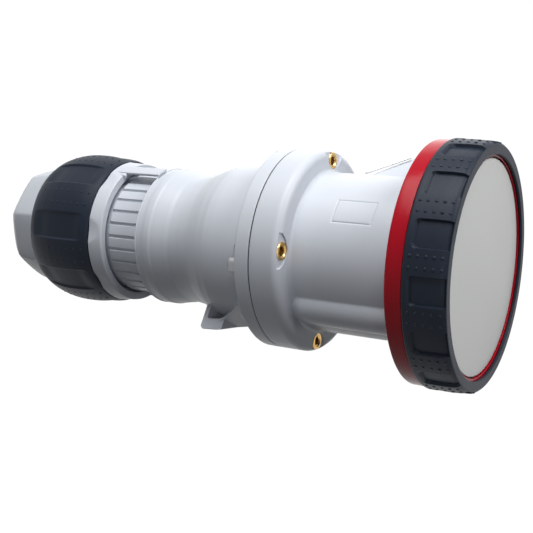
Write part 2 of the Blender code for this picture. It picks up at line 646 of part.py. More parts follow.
def locking_ring():
    lid_flange = COVER_RADIUS + COVER_SHOULDER
    lip_rear = -COVER_PLATE + COVER_SHOULDER_THICK - SEAT * 2
    groove_rear = -COVER_PLATE - SEAT
    grip_bore = GRIP_RADIUS - GRIP_WALL
    under = grip_bore - SEAT
    front = X_RING_FRONT - 2 * MM
    outline = [
        (X_RING_REAR, RING_BORE + EDGE), (X_RING_REAR, RED_RADIUS - EDGE), (X_RING_REAR + EDGE, RED_RADIUS),
        (X_GRIP_REAR, RED_RADIUS), (X_GRIP_REAR, under), (front - EDGE, under - EDGE), (front, under - 4 * EDGE),
        (front, COVER_RADIUS + RUN), (lip_rear, COVER_RADIUS + RUN), (lip_rear, lid_flange + SEAT),
        (groove_rear, lid_flange + SEAT), (groove_rear - EDGE, RING_BORE - LATCH_BEAD),
        (groove_rear - 3 * EDGE, RING_BORE), (X_RING_REAR + EDGE, RING_BORE),
    ]
    ring = turned("locking_ring", outline, 48, RED, cover_pivot)
    added = bmesh.new()
    lug_front = X_NOSE - LUG_SETBACK - LUG_LENGTH - 2 * RUN
    for side in (-90, 90):
        arc_block(added, lug_front - RING_LUG_LENGTH, lug_front, RING_LUG_TIP, RING_BORE + EDGE,
                  HINGE_ANGLE + side - UNLOCK_ANGLE, LUG_HALF_ANGLE)
    combine(ring, solid("ring_lugs", added, RED, cover_pivot, helper=True), "UNION")

    pad_rear = X_RING_FRONT - PAD_LENGTH
    outline = [
        (X_GRIP_REAR + SEAT, grip_bore), (X_GRIP_REAR + SEAT, GRIP_RADIUS - EDGE),
        (X_GRIP_REAR + 2 * EDGE, GRIP_RADIUS), (pad_rear - EDGE / 4, GRIP_RADIUS), (pad_rear + EDGE, GRIP_RADIUS),
        (X_RING_FRONT - 7 * MM, GRIP_RADIUS - 0.3 * MM), (X_RING_FRONT - 2.4 * MM, GRIP_RADIUS - 1.2 * MM),
        (X_RING_FRONT, GRIP_RADIUS - 3.2 * MM), (X_RING_FRONT, under - 3.3 * EDGE),
        (front + SEAT, under - 4 * EDGE + SEAT), (front + SEAT, under - EDGE), (front - EDGE, grip_bore),
    ]
    turned("ring_grip", outline, round(360 / GRIP_STEP), SOFT, cover_pivot, grip_shape, FIRST_PAD)


# Cover: disc, shoulder held by the ring, skirt round the nose, hinge arm and barrel, seal

def cover():
    shoulder = COVER_RADIUS + COVER_SHOULDER
    skirt_bore = COVER_RADIUS - SKIRT_WALL
    x_seal = -COVER_PLATE
    rib = NOSE_SEAT_RADIUS - 1.5 * MM
    outline = soften([
        (0, 0, 0), (-COVER_PLATE, 0, 0), (-COVER_PLATE, rib, 0),
        (x_seal - 2.2 * MM, rib, 0), (x_seal - 2.2 * MM, rib + 1.2 * MM, 0),
        (-COVER_PLATE, rib + 1.2 * MM, 0), (-COVER_PLATE, skirt_bore, 0),
        (-SKIRT_DEPTH, skirt_bore, 0), (-SKIRT_DEPTH, COVER_RADIUS, EDGE),
        (-COVER_PLATE - 2 * EDGE, COVER_RADIUS, 0), (-COVER_PLATE, shoulder, 0),
        (-COVER_PLATE + COVER_SHOULDER_THICK - 4 * SEAT, shoulder, 0),
        (-COVER_PLATE + COVER_SHOULDER_THICK - 4 * SEAT, COVER_RADIUS, 0), (0, COVER_RADIUS, EDGE),
    ])
    lid = turned("cover", outline, 48, COVER_GREY, cover_pivot)
    added = bmesh.new()
    high = COVER_RADIUS - EDGE / 4
    arc_block(added, X_HINGE, -SKIRT_DEPTH + 4 * EDGE, high - ARM_THICK / 2, high + ARM_THICK / 2,
              HINGE_ANGLE, ARM_HALF_ANGLE, 6)
    barrel_half = EAR_OFFSET - FORK_THICK / 2 - SEAT
    combine(lid, solid("hinge_arm", added, COVER_GREY, cover_pivot, helper=True), "UNION")
    added = bmesh.new()
    cross_bar(added, HINGE_POINT, HINGE_LINE, barrel_half, KNUCKLE_RADIUS, 16)
    combine(lid, solid("hinge_barrel", added, COVER_GREY, cover_pivot, helper=True), "UNION")
    removed = bmesh.new()
    cross_bar(removed, HINGE_POINT, HINGE_LINE, EAR_OFFSET + FORK_THICK, PIN_RADIUS + SEAT, 12)
    combine(lid, solid("pin_hole", removed, COVER_GREY, cover_pivot, helper=True), "DIFFERENCE")

    pin = bmesh.new()
    cross_bar(pin, HINGE_POINT, HINGE_LINE, EAR_OFFSET + FORK_THICK / 2 - SEAT, PIN_RADIUS, 12)
    solid("hinge_pin", pin, STEEL)

    seal_outer = skirt_bore - SEAT
    seal_inner = rib + 1.2 * MM + SEAT
    front, rear = -COVER_PLATE - SEAT, X_NOSE + SEAT
    outline = soften([(rear, seal_inner, EDGE), (rear, seal_outer, EDGE), (front, seal_outer, EDGE / 2),
                      (front, seal_inner, EDGE / 2)])
    turned("cover_seal", outline, 40, BLACK, cover_pivot)


# Gland: nut with scalloped ring, lobed hub and two tongues, soft grip, seal and thrust ring

def scalloped(x, radius, angle):
    """Waves the front ring and rounds the hub into soft lobes."""
    wave = 0.5 + 0.5 * math.cos(math.radians(SCALLOPS * (angle - NUT_FIRST_PAD)))
    if x > X_NUT_GRIP - EDGE and radius > NUT_FRONT_RADIUS - 2 * EDGE:
        return radius - SCALLOP_DEPTH * wave, angle
    if x < X_NUT_GRIP_REAR - EDGE and radius > HUB_END_RADIUS - 3 * EDGE:
        return radius - HUB_LOBE * wave, angle
    return radius, angle


def nut_grip_shape(x, radius, angle):
    """Sinks the pads of the nut's grip."""
    if radius < SCALLOP_RADIUS - 2.5 * MM or x > X_NUT_GRIP - 2 * MM or x < X_NUT_GRIP_REAR + 4 * MM:
        return radius, angle
    return pad_shape(radius, angle, NUT_FIRST_PAD, NUT_PADS, NUT_PAD_HALF_ANGLE, NUT_PAD_DEPTH,
                     NUT_GRIP_STEP)


def gland_nut():
    thread_bore = THREAD_RADIUS + SEAT
    chamber = X_THRUST_REAR - SEAT
    outline = soften([
        (X_NUT, NUT_MOUTH, EDGE), (X_NUT, NUT_FRONT_RADIUS, EDGE), (X_NUT_GRIP, SCALLOP_RADIUS, 0),
        (X_NUT_GRIP, NUT_CORE_RADIUS, 0), (X_NUT_GRIP_REAR, NUT_CORE_RADIUS, 0),
        (X_NUT_GRIP_REAR - 2.5 * MM, NUT_CORE_RADIUS - 2 * MM, EDGE),
        (X_NUT_GRIP_REAR - 5 * MM, HUB_RADIUS, 2 * MM), (X_NUT_REAR, HUB_END_RADIUS, 2.5 * MM),
        (X_NUT_REAR, CABLE_RADIUS, 1.5 * MM), (chamber - 6 * MM, CABLE_RADIUS, 0),
        (chamber, THREAD_RADIUS - 9 * MM, 0), (chamber, thread_bore, 0), (X_NUT - 2 * MM, thread_bore, 0),
        (X_NUT - 1 * MM, NUT_MOUTH, 0),
    ])
    nut = turned("gland_nut", outline, 48, GREY, nut_pivot, scalloped)
    added = bmesh.new()
    for angle in TONGUE_ANGLES:
        low = BARREL_RIM + SEAT * 2
        arc_block(added, X_NUT - SCALLOP_LENGTH / 2, X_RIM + TONGUE_OVER_RIM, low, low + TONGUE_THICK,
                  angle, TONGUE_HALF_ANGLE)
    combine(nut, solid("nut_tongues", added, GREY, nut_pivot, helper=True), "UNION")

    grip_front, grip_rear = X_NUT_GRIP - SEAT, X_NUT_GRIP_REAR + SEAT
    outline = soften([
        (grip_front, NUT_CORE_RADIUS + SEAT, 0), (grip_front, SCALLOP_RADIUS + 0.2 * MM, EDGE),
        (grip_front - 4 * MM, SCALLOP_RADIUS + 1.6 * MM, 0), (grip_front - 14 * MM, NUT_GRIP_RADIUS - 0.4 * MM, 0),
        (grip_front - 24 * MM, NUT_GRIP_RADIUS, 0), (grip_front - 34 * MM, NUT_GRIP_RADIUS - 0.9 * MM, 0),
        (grip_rear + 6 * MM, NUT_GRIP_RADIUS - 2.6 * MM, 0), (grip_rear, NUT_GRIP_RADIUS - 4.8 * MM, 1.5 * MM),
        (grip_rear, NUT_CORE_RADIUS + SEAT, 0),
    ])
    turned("nut_grip", outline, round(360 / NUT_GRIP_STEP), SOFT, nut_pivot, nut_grip_shape, NUT_FIRST_PAD)

    outer = THREAD_RADIUS - SEAT
    outline = soften([(X_SEAL_REAR, SEAL_BORE, EDGE), (X_SEAL_REAR, outer, EDGE),
                      (X_TAIL - SEAT, outer, EDGE), (X_TAIL - SEAT, SEAL_BORE, 2 * EDGE)])
    turned("gland_seal", outline, 32, BLACK)
    thrust_front = X_SEAL_REAR - SEAT
    outline = soften([(X_THRUST_REAR, SEAL_BORE, EDGE), (X_THRUST_REAR, outer, EDGE / 2),
                      (thrust_front, outer, EDGE / 2), (thrust_front, SEAL_BORE, EDGE)])
    turned("thrust_ring", outline, 32, GREY)


front_housing()
flange_joint()
rear_housing()
contact_carrier()
locking_ring()
cover()
gland_nut()
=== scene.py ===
import math

import bmesh
import bpy
import numpy as np
from mathutils import Matrix, Vector


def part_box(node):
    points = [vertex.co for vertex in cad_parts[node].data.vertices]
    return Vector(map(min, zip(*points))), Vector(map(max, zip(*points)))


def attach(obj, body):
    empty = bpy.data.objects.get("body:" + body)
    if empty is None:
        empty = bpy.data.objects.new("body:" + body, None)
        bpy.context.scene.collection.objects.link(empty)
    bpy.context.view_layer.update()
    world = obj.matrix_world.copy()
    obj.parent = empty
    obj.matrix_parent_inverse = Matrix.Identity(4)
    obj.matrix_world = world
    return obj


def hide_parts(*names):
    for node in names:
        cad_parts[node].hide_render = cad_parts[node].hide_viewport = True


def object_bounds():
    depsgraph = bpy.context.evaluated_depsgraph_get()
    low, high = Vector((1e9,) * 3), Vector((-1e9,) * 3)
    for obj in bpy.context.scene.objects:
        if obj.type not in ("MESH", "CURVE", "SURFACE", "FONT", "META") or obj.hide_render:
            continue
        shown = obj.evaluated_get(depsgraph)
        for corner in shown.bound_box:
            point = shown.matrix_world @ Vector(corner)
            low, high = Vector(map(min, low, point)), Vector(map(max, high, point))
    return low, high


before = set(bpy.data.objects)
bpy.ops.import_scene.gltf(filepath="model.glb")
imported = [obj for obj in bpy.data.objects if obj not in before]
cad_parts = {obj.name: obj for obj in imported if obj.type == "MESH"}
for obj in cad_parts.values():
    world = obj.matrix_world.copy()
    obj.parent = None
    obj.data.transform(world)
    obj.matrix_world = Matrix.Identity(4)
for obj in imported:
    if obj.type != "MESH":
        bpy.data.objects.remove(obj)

cad_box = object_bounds()
MM = 0.001


# Front housing
# The socket's half of the shell, moulded in one piece from grey glass-filled polyamide: a thick flange,
# a round body with a half-round key ridge along its side, and a wider nose that the cover closes over.

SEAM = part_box("front_housing")[0].x / MM
NOSE = -8.0
NOSE_REAR = -29.0
FLANGE_FRONT = -96.2
FLANGE_RADIUS = 59.7
BODY_RADIUS = 46.7
NOSE_RADIUS = 56.0
KEY_ANGLE = 120.25
KEY_CENTRE = 39.0
KEY_RADIUS = 12.5
GROOVE_RADIUS = 9.2
INSERT_ANGLE = 74.0
INSERT_CIRCLE = 53.4
SPOT_FLOOR = -97.1
SPOT_CIRCLE = 59.6
SPOT_RADIUS = 10.4
FRAME_ANGLES = (33.0, 51.5)
FRAME_ENDS = (-74.5, -50.5)
WELL_RADIUS = 4.75
WELL_DEPTH = 11.0
SEAM_LIP = 0.55
FRONT_OUTSIDE = 46.0
FRONT_BORE = 40.0
BODY_TOP = 48.0
GROOVE_START = -70.0
FLANGE_ZONE = -80.0
RIDGE_SINK = 2.2
RIDGE_FILLET = 0.3
FRAME_INSET = 0.5
FRAME_LINE_WIDTH = 0.4
FRAME_LINE_DEPTH = 0.34
FRAME_SIDE = 0.61
FACE_ROWS = 28
FACE_SPAN = (55.0, 48.2)


def rounded_profile(corners, longest=1.6, coarse_below=0.0):
    """Points along a closed outline of (x, radius, fillet) corners.

    Each corner is replaced by the arc that touches both of its sides, and each straight run is cut
    into equal steps no longer than the longest one."""
    points = []
    count = len(corners)
    for i, (x, r, fillet) in enumerate(corners):
        here = np.array([x, r], float)
        back = np.array(corners[i - 1][:2], float) - here
        ahead = np.array(corners[(i + 1) % count][:2], float) - here
        back_length, ahead_length = np.linalg.norm(back), np.linalg.norm(ahead)
        back, ahead = back / back_length, ahead / ahead_length
        half = math.acos(max(-1.0, min(1.0, float(back @ ahead)))) / 2
        if fillet <= 0 or half > math.radians(89.5):
            points.append(here[None, :])
            continue
        reach = min(fillet / math.tan(half), 0.48 * back_length, 0.48 * ahead_length)
        radius = reach * math.tan(half)
        middle = (back + ahead) / np.linalg.norm(back + ahead)
        centre = here + middle * radius / math.sin(half)
        first = here + back * reach - centre
        last = here + ahead * reach - centre
        sweep = math.atan2(first[0] * last[1] - first[1] * last[0], float(first @ last))
        turn = np.linspace(0, sweep, max(3, math.ceil(abs(math.degrees(sweep)) / 11)))[:, None]
        across = np.array([-first[1], first[0]])
        points.append(centre + np.cos(turn) * first + np.sin(turn) * across)
    points = np.concatenate(points)
    following = np.roll(points, -1, axis=0)
    hidden = np.maximum(points[:, 1], following[:, 1]) < coarse_below
    side_length = np.where(hidden, 4 * longest, longest)
    steps = np.maximum(1, np.ceil(np.linalg.norm(following - points, axis=1) / side_length)).astype(int)
    start = np.repeat(points, steps, axis=0)
    end = np.repeat(following, steps, axis=0)
    offsets = np.arange(steps.sum()) - np.repeat(np.cumsum(steps) - steps, steps)
    return start + (end - start) * (offsets / np.repeat(steps, steps))[:, None]


def fine_angles(step, places=(), half_width=0.0, fine=0.25):
    """Angles all the way round at an even step, with a fine step on both sides of each place."""
    angles = [np.arange(0, 360, step)]
    for place in places:
        angles.append(np.arange(place - half_width, place + half_width, fine) % 360)
    return np.unique(np.round(np.concatenate(angles), 4))


def face_outwards(mesh, merge=False):
    """Turns the faces of a mesh outwards, and first merges the points that coincide, if asked."""
    work = bmesh.new()
    work.from_mesh(mesh)
    if merge:
        bmesh.ops.remove_doubles(work, verts=work.verts, dist=2e-6)
        bmesh.ops.dissolve_degenerate(work, edges=work.edges, dist=1e-7)
    bmesh.ops.recalc_face_normals(work, faces=work.faces)
    work.to_mesh(mesh)
    work.free()
    return mesh


def mesh_from_grid(name, points, close_rows=True, close_columns=True):
    """A skin over a grid of points: each cell of four neighbours is a face.

    Rows and columns may close on themselves, points that coincide at a pole are merged, and the faces
    are turned outwards."""
    rows, columns = points.shape[:2]
    index = np.arange(rows * columns).reshape(rows, columns)
    if close_rows:
        index = np.concatenate([index, index[:1]])
    if close_columns:
        index = np.concatenate([index, index[:, :1]], axis=1)
    faces = np.stack([index[:-1, :-1], index[:-1, 1:], index[1:, 1:], index[1:, :-1]], axis=-1)
    mesh = bpy.data.meshes.new(name)
    mesh.from_pydata((points.reshape(-1, 3) * MM).tolist(), [], faces.reshape(-1, 4).tolist())
    return face_outwards(mesh, merge=True)


def place_piece(name, mesh, material, body, sharp=32):
    """Puts a finished mesh into the scene, shaded smooth between its sharp edges, on a body."""
    mesh.materials.append(material)
    mesh.shade_smooth()
    mesh.set_sharp_from_angle(angle=math.radians(sharp))
    piece = bpy.data.objects.new(name, mesh)
    bpy.context.scene.collection.objects.link(piece)
    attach(piece, body)
    return piece


def turned_mesh(name, profile, angles, shape=None):
    """A profile turned round the X axis: a point at (x, radius) and an angle lies at
    (x, -radius sin angle, radius cos angle), after the shape has changed its x and radius."""
    x = np.repeat(profile[:, :1], len(angles), axis=1)
    r = np.repeat(profile[:, 1:], len(angles), axis=1)
    if shape:
        x, r = shape(x, r, np.broadcast_to(angles, r.shape))
    turn = np.radians(angles)
    points = np.stack([x, -r * np.sin(turn), r * np.cos(turn)], axis=-1)
    return mesh_from_grid(name, points)


def off_centre(angle, place, pitch=360):
    """How far an angle lies from the nearest of the places at equal pitch, in degrees."""
    return (angle - place + pitch / 2) % pitch - pitch / 2


def circle_cut(angle, centre_radius, radius, side):
    """Where a ray from the axis meets a circle whose centre is at an angle of zero: the near meeting
    for side -1 and the far one for side 1. Rays that miss give a radius past everything."""
    turn = np.radians(angle)
    room = radius ** 2 - (centre_radius * np.sin(turn)) ** 2
    meets = (room > 0) & (np.abs(angle) < 90)
    reach = centre_radius * np.cos(turn) + side * np.sqrt(np.maximum(room, 0))
    return np.where(meets, reach, 1e3 if side < 0 else -1e3)


def soft_step(value, low, high):
    """0 below the low value, 1 above the high one, and a smooth rise between."""
    t = np.clip((value - low) / (high - low), 0, 1)
    return t * t * (3 - 2 * t)


def soft_larger(a, b, blend):
    """The larger of two radii, with a fillet of about the blend where they cross."""
    return (a + b + np.sqrt((a - b) ** 2 + blend ** 2)) / 2


def front_form(x, r, angle):
    """Raises the key ridge, cuts the groove under it, mills the spot faces and sinks the plain frame.

    A point's distance from an insert's line is the third side of the triangle it makes with the axis.
    Points of the spot faces' floor within the well's radius of that line go back to the well's depth. The
    frame is a line of bell-shaped section, whose depth falls off with the distance from its middle."""
    outside = r > FRONT_OUTSIDE
    from_key = off_centre(angle, KEY_ANGLE)
    ridge = circle_cut(from_key, KEY_CENTRE, KEY_RADIUS, 1)
    end = soft_step(x, FLANGE_FRONT - 1.0, FLANGE_FRONT + 4.5)
    ridge = ridge - RIDGE_SINK * (1 - end)
    along = outside & (x > FLANGE_FRONT - 1.5) & (x < NOSE_REAR + 0.4)
    r = np.where(along, soft_larger(r, ridge, RIDGE_FILLET), r)
    groove = circle_cut(from_key, KEY_CENTRE, GROOVE_RADIUS, 1)
    r = np.where(~outside & (r > FRONT_BORE) & (x > GROOVE_START), np.maximum(r, groove), r)
    from_insert = off_centre(angle, INSERT_ANGLE, 90)
    spot = circle_cut(from_insert, SPOT_CIRCLE, SPOT_RADIUS, -1)
    on_flange = outside & (x < FLANGE_ZONE)
    r = np.where(on_flange & (x > SPOT_FLOOR), np.minimum(r, spot), r)
    turn = np.radians(from_insert)
    to_insert = np.sqrt(r ** 2 + INSERT_CIRCLE ** 2 - 2 * r * INSERT_CIRCLE * np.cos(turn))
    in_well = on_flange & (to_insert < WELL_RADIUS) & (x > SPOT_FLOOR - 1.5)
    x = np.where(in_well, SPOT_FLOOR - WELL_DEPTH, x)
    low, high = FRAME_ANGLES
    start, stop = FRAME_ENDS
    arc = np.radians(np.minimum(angle - low, high - angle)) * BODY_RADIUS
    inside = np.minimum(arc, np.minimum(x - start, stop - x))
    line = np.exp(-((inside - FRAME_INSET) / FRAME_LINE_WIDTH) ** 2)
    r = np.where(outside & (r < BODY_TOP), r - FRAME_LINE_DEPTH * line, r)
    return x, r


def grain_group():
    """A shader node group for moulded plastic: a slow change of shade and gloss, and a fine eroded grain.

    Its colour is the given one, shaded up or down a little; its normal carries only the fine grain."""
    group = bpy.data.node_groups.new("moulded_plastic", "ShaderNodeTree")
    sockets = group.interface
    sockets.new_socket("Colour", in_out="INPUT", socket_type="NodeSocketColor")
    defaults = (("Gloss", 0.4), ("Grain size", 900.0), ("Grain depth", 0.05), ("Shade change", 0.05))
    for name, value in defaults:
        socket = sockets.new_socket(name, in_out="INPUT", socket_type="NodeSocketFloat")
        socket.default_value = value
    sockets.new_socket("Colour", in_out="OUTPUT", socket_type="NodeSocketColor")
    sockets.new_socket("Roughness", in_out="OUTPUT", socket_type="NodeSocketFloat")
    sockets.new_socket("Normal", in_out="OUTPUT", socket_type="NodeSocketVector")
    nodes, links = group.nodes, group.links
    given = nodes.new("NodeGroupInput")
    result = nodes.new("NodeGroupOutput")
    place = nodes.new("ShaderNodeTexCoord")
    slow = nodes.new("ShaderNodeTexNoise")
    slow.inputs["Scale"].default_value = 22
    slow.inputs["Detail"].default_value = 3
    fine = nodes.new("ShaderNodeTexNoise")
    fine.inputs["Detail"].default_value = 2
    links.new(place.outputs["Object"], slow.inputs["Vector"])
    links.new(place.outputs["Object"], fine.inputs["Vector"])
    links.new(given.outputs["Grain size"], fine.inputs["Scale"])
    centred = nodes.new("ShaderNodeMath")
    centred.operation = "SUBTRACT"
    centred.inputs[1].default_value = 0.5
    links.new(slow.outputs["Fac"], centred.inputs[0])
    change = nodes.new("ShaderNodeMath")
    change.operation = "MULTIPLY_ADD"
    change.inputs[2].default_value = 1.0
    links.new(centred.outputs[0], change.inputs[0])
    links.new(given.outputs["Shade change"], change.inputs[1])
    shade = nodes.new("ShaderNodeHueSaturation")
    links.new(given.outputs["Colour"], shade.inputs["Color"])
    links.new(change.outputs[0], shade.inputs["Value"])
    rough = nodes.new("ShaderNodeMath")
    rough.operation = "MULTIPLY_ADD"
    rough.inputs[1].default_value = 0.16
    links.new(centred.outputs[0], rough.inputs[0])
    links.new(given.outputs["Gloss"], rough.inputs[2])
    bump = nodes.new("ShaderNodeBump")
    bump.inputs["Distance"].default_value = 0.0002
    links.new(fine.outputs["Fac"], bump.inputs["Height"])
    links.new(given.outputs["Grain depth"], bump.inputs["Strength"])
    links.new(shade.outputs["Color"], result.inputs["Colour"])
    links.new(rough.outputs[0], result.inputs["Roughness"])
    links.new(bump.outputs["Normal"], result.inputs["Normal"])
    return group


MOULDED = grain_group()


def plastic(name, colour, gloss, grain_size=900.0, grain_depth=0.12, shade_change=0.06, specular=0.5):
    """A moulded plastic or rubber with its own colour, gloss and grain."""
    material = bpy.data.materials.new(name)
    material.use_nodes = True
    nodes, links = material.node_tree.nodes, material.node_tree.links
    shader = nodes["Principled BSDF"]
    shader.inputs["Specular IOR Level"].default_value = specular
    grain = nodes.new("ShaderNodeGroup")
    grain.node_tree = MOULDED
    grain.inputs["Colour"].default_value = (*colour, 1)
    grain.inputs["Gloss"].default_value = gloss
    grain.inputs["Grain size"].default_value = grain_size
    grain.inputs["Grain depth"].default_value = grain_depth
    grain.inputs["Shade change"].default_value = shade_change
    links.new(grain.outputs["Colour"], shader.inputs["Base Color"])
    links.new(grain.outputs["Roughness"], shader.inputs["Roughness"])
    links.new(grain.outputs["Normal"], shader.inputs["Normal"])
    return material


HOUSING_GREY = plastic("housing_grey", (0.52, 0.55, 0.60), 0.36, specular=0.2)


front_profile = rounded_profile([
    (SEAM - SEAM_LIP, 45.5, 0), (SEAM - SEAM_LIP, FLANGE_RADIUS, 0.5), (FLANGE_FRONT, FLANGE_RADIUS, 4.6),
    (FLANGE_FRONT, BODY_RADIUS, 2.4), (NOSE_REAR, BODY_RADIUS, 1.5), (NOSE_REAR, NOSE_RADIUS, 1.5),
    (NOSE, NOSE_RADIUS, 1.0), (NOSE, 50.4, 0.5), (-21.5, 50.4, 0), (-21.5, 43.4, 0.6),
    (SEAM + 8.3, 43.4, 0), (SEAM + 8.3, 45.5, 0),
], coarse_below=45.6)


def with_rows(profile, replaced, rows):
    """The profile without its flagged points, and with the rows where the first of them was."""
    kept = profile[~replaced]
    first = int(np.argmax(replaced))
    return np.concatenate([kept[:first], rows, kept[first:]])


# close rows over the flange's face, so that the milled flats and the wells have clean edges
face_rows = np.stack([np.full(FACE_ROWS, FLANGE_FRONT), np.linspace(*FACE_SPAN, FACE_ROWS)], axis=-1)
row_x, row_r = front_profile.T
on_face = (np.abs(row_x - FLANGE_FRONT) < 0.01) & (row_r > BODY_TOP) & (row_r < FACE_SPAN[0] + 0.2)
front_profile = with_rows(front_profile, on_face, face_rows)
# and close rows and angles over the frame's four lines
frame_steps = 0.28 * np.arange(-4, 5)
frame_x = np.concatenate([FRAME_ENDS[0] + FRAME_INSET + frame_steps,
                          FRAME_ENDS[1] - FRAME_INSET + frame_steps])
frame_rows = np.stack([frame_x, np.full(len(frame_x), BODY_RADIUS)], axis=-1)
row_x, row_r = front_profile.T
on_body = (np.abs(row_r - BODY_RADIUS) < 0.01) & (row_x < NOSE_REAR - 2)
body_rows = np.concatenate([front_profile[on_body], frame_rows])
front_profile = with_rows(front_profile, on_body, body_rows[np.argsort(body_rows[:, 0])])
front_angles = fine_angles(2.0, INSERT_ANGLE + 90 * np.arange(4), 11, 0.45)
side_steps = 0.3 * np.arange(-3, 4)
frame_sides = np.array(FRAME_ANGLES)[:, None] + np.array([FRAME_SIDE, -FRAME_SIDE])[:, None] + side_steps
front_angles = np.unique(np.concatenate([front_angles, np.arange(KEY_ANGLE - 20, KEY_ANGLE + 20, 0.8),
                                         frame_sides.ravel()]))
front_mesh = turned_mesh("front_shell", front_profile, front_angles, front_form)
front_shell = place_piece("front_shell", front_mesh, HOUSING_GREY, "housing")
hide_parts("front_housing")


# Fork of the hinge and the two lugs
# Moulded in one with the front housing: two flat ribs stand on the body and carry the cover's pin between
# their rounded ends, and two short lugs on the nose are what the locking ring pulls against.

HINGE_ANGLE = -62.0
HINGE_X = -34.5
HINGE_RADIUS = 60.0
FORK_OFFSET = 27.0
FORK_THICK = 5.0
KNUCKLE_RADIUS = 3.5
LUG_ANGLE_WIDTH = 15.0


def direction(angle):
    """The unit vector straight away from the axis at an angle."""
    turn = math.radians(angle)
    return np.array([0, -math.sin(turn), math.cos(turn)])


def slab_mesh(name, outline, angle, side_from, side_to, far_outline=None):
    """An outline of (x, radius) points in the plane through the axis at an angle, made thick sideways.

    With a second outline of as many points, the section changes evenly from the first to the second."""
    out, side = direction(angle), direction(angle + 90)
    outline = np.asarray(outline, float)
    far_outline = outline if far_outline is None else np.asarray(far_outline, float)
    near = outline[:, :1] * np.array([1, 0, 0]) + outline[:, 1:] * out + side * side_from
    far = far_outline[:, :1] * np.array([1, 0, 0]) + far_outline[:, 1:] * out + side * side_to
    count = len(outline)
    index = np.arange(count)
    sides = np.stack([index, np.roll(index, -1), np.roll(index, -1) + count, index + count], axis=-1)
    mesh = bpy.data.meshes.new(name)
    corners = (np.concatenate([near, far]) * MM).tolist()
    mesh.from_pydata(corners, [], sides.tolist() + [index.tolist(), (index[::-1] + count).tolist()])
    return face_outwards(mesh)


def soften_edges(piece, width, segments=3):
    """Rounds every sharp edge of a piece."""
    bevel = piece.modifiers.new("edges", "BEVEL")
    bevel.width = width * MM
    bevel.segments = segments
    bevel.limit_method = "ANGLE"
    bevel.angle_limit = math.radians(32)
    return piece


def arc_points(centre, radius, start, stop, count):
    """Points on an arc about a centre, with the angles in degrees from the first direction."""
    turn = np.radians(np.linspace(start, stop, count))
    return np.stack([centre[0] + radius * np.cos(turn), centre[1] + radius * np.sin(turn)], axis=-1)


knuckle = arc_points((HINGE_X, HINGE_RADIUS), KNUCKLE_RADIUS, 115, -85, 21)
fork_outline = np.concatenate([[(HINGE_X - 45, 33), (HINGE_X - 21, 52.8)], knuckle, [(HINGE_X - 10.5, 33)]])
for number, side in enumerate((-1, 1), 1):
    middle = side * FORK_OFFSET
    rib_sides = (middle - FORK_THICK / 2, middle + FORK_THICK / 2)
    rib_mesh = slab_mesh("hinge_rib", fork_outline, HINGE_ANGLE, *rib_sides)
    rib = place_piece(f"hinge_rib_{number}", rib_mesh, HOUSING_GREY, "housing")
    soften_edges(rib, 0.6)


def block_mesh(name, x_from, x_to, low, high, angle, half_angle, steps=16):
    """A block that follows the round: a rectangle of x and radius carried along an arc."""
    section = np.array([(x_from, low), (x_to, low), (x_to, high), (x_from, high)], float)
    turn = np.radians(np.linspace(angle - half_angle, angle + half_angle, steps))[:, None]
    x = np.repeat(section[None, :, 0], steps, axis=0)
    points = np.stack([x, -section[:, 1] * np.sin(turn), section[:, 1] * np.cos(turn)], axis=-1)
    ends = np.stack([np.repeat(points[:1].mean(axis=1, keepdims=True), 4, axis=1)[0],
                     np.repeat(points[-1:].mean(axis=1, keepdims=True), 4, axis=1)[0]])
    points = np.concatenate([ends[:1], points, ends[1:]])
    return mesh_from_grid(name, points, close_rows=False)


for number, side in enumerate((-90, 90), 1):
    lug_mesh = block_mesh("nose_lug", -20, -14, 54, 61.4, HINGE_ANGLE + side, LUG_ANGLE_WIDTH / 2)
    lug = place_piece(f"nose_lug_{number}", lug_mesh, HOUSING_GREY, "housing")
    soften_edges(lug, 0.5)


# Threaded inserts
# Four turned brass bushes pressed into the front flange, each in its own milled flat, with a plain rim
# and a six-sided socket.


def metal(name, colour, gloss, brush=0.0):
    """A bare metal with fine turned marks in its gloss."""
    material = bpy.data.materials.new(name)
    material.use_nodes = True
    nodes, links = material.node_tree.nodes, material.node_tree.links
    shader = nodes["Principled BSDF"]
    shader.inputs["Base Color"].default_value = (*colour, 1)
    shader.inputs["Metallic"].default_value = 1.0
    place = nodes.new("ShaderNodeTexCoord")
    marks = nodes.new("ShaderNodeTexNoise")
    marks.inputs["Scale"].default_value = 700
    marks.inputs["Detail"].default_value = 2
    rough = nodes.new("ShaderNodeMath")
    rough.operation = "MULTIPLY_ADD"
    rough.inputs[1].default_value = brush
    rough.inputs[2].default_value = gloss
    links.new(place.outputs["Object"], marks.inputs["Vector"])
    links.new(marks.outputs["Fac"], rough.inputs[0])
    links.new(rough.outputs[0], shader.inputs["Roughness"])
    return material


BRASS = metal("brass", (0.62, 0.40, 0.14), 0.2, 0.12)


def six_sided(angle, across):
    """The radius of a hexagon of a width across its flats, at an angle."""
    return across / 2 / np.cos(np.radians(off_centre(angle, 0, 60)))


def turned_aside(name, profile, circle, angle, columns=48, socket=None):
    """A profile turned round its own line parallel to X, at an angle and radius off the axis.

    Points marked by a radius below zero lie on the socket's hexagon."""
    own = np.linspace(0, 360, columns, endpoint=False)
    x = np.repeat(profile[:, :1], columns, axis=1)
    r = np.repeat(profile[:, 1:], columns, axis=1)
    if socket:
        r = np.where(r < 0, six_sided(own, socket)[None, :], r)
    turn = np.radians(own)
    centre = circle * direction(angle)
    points = np.stack([x, centre[1] - r * np.sin(turn), centre[2] + r * np.cos(turn)], axis=-1)
    return mesh_from_grid(name, points)


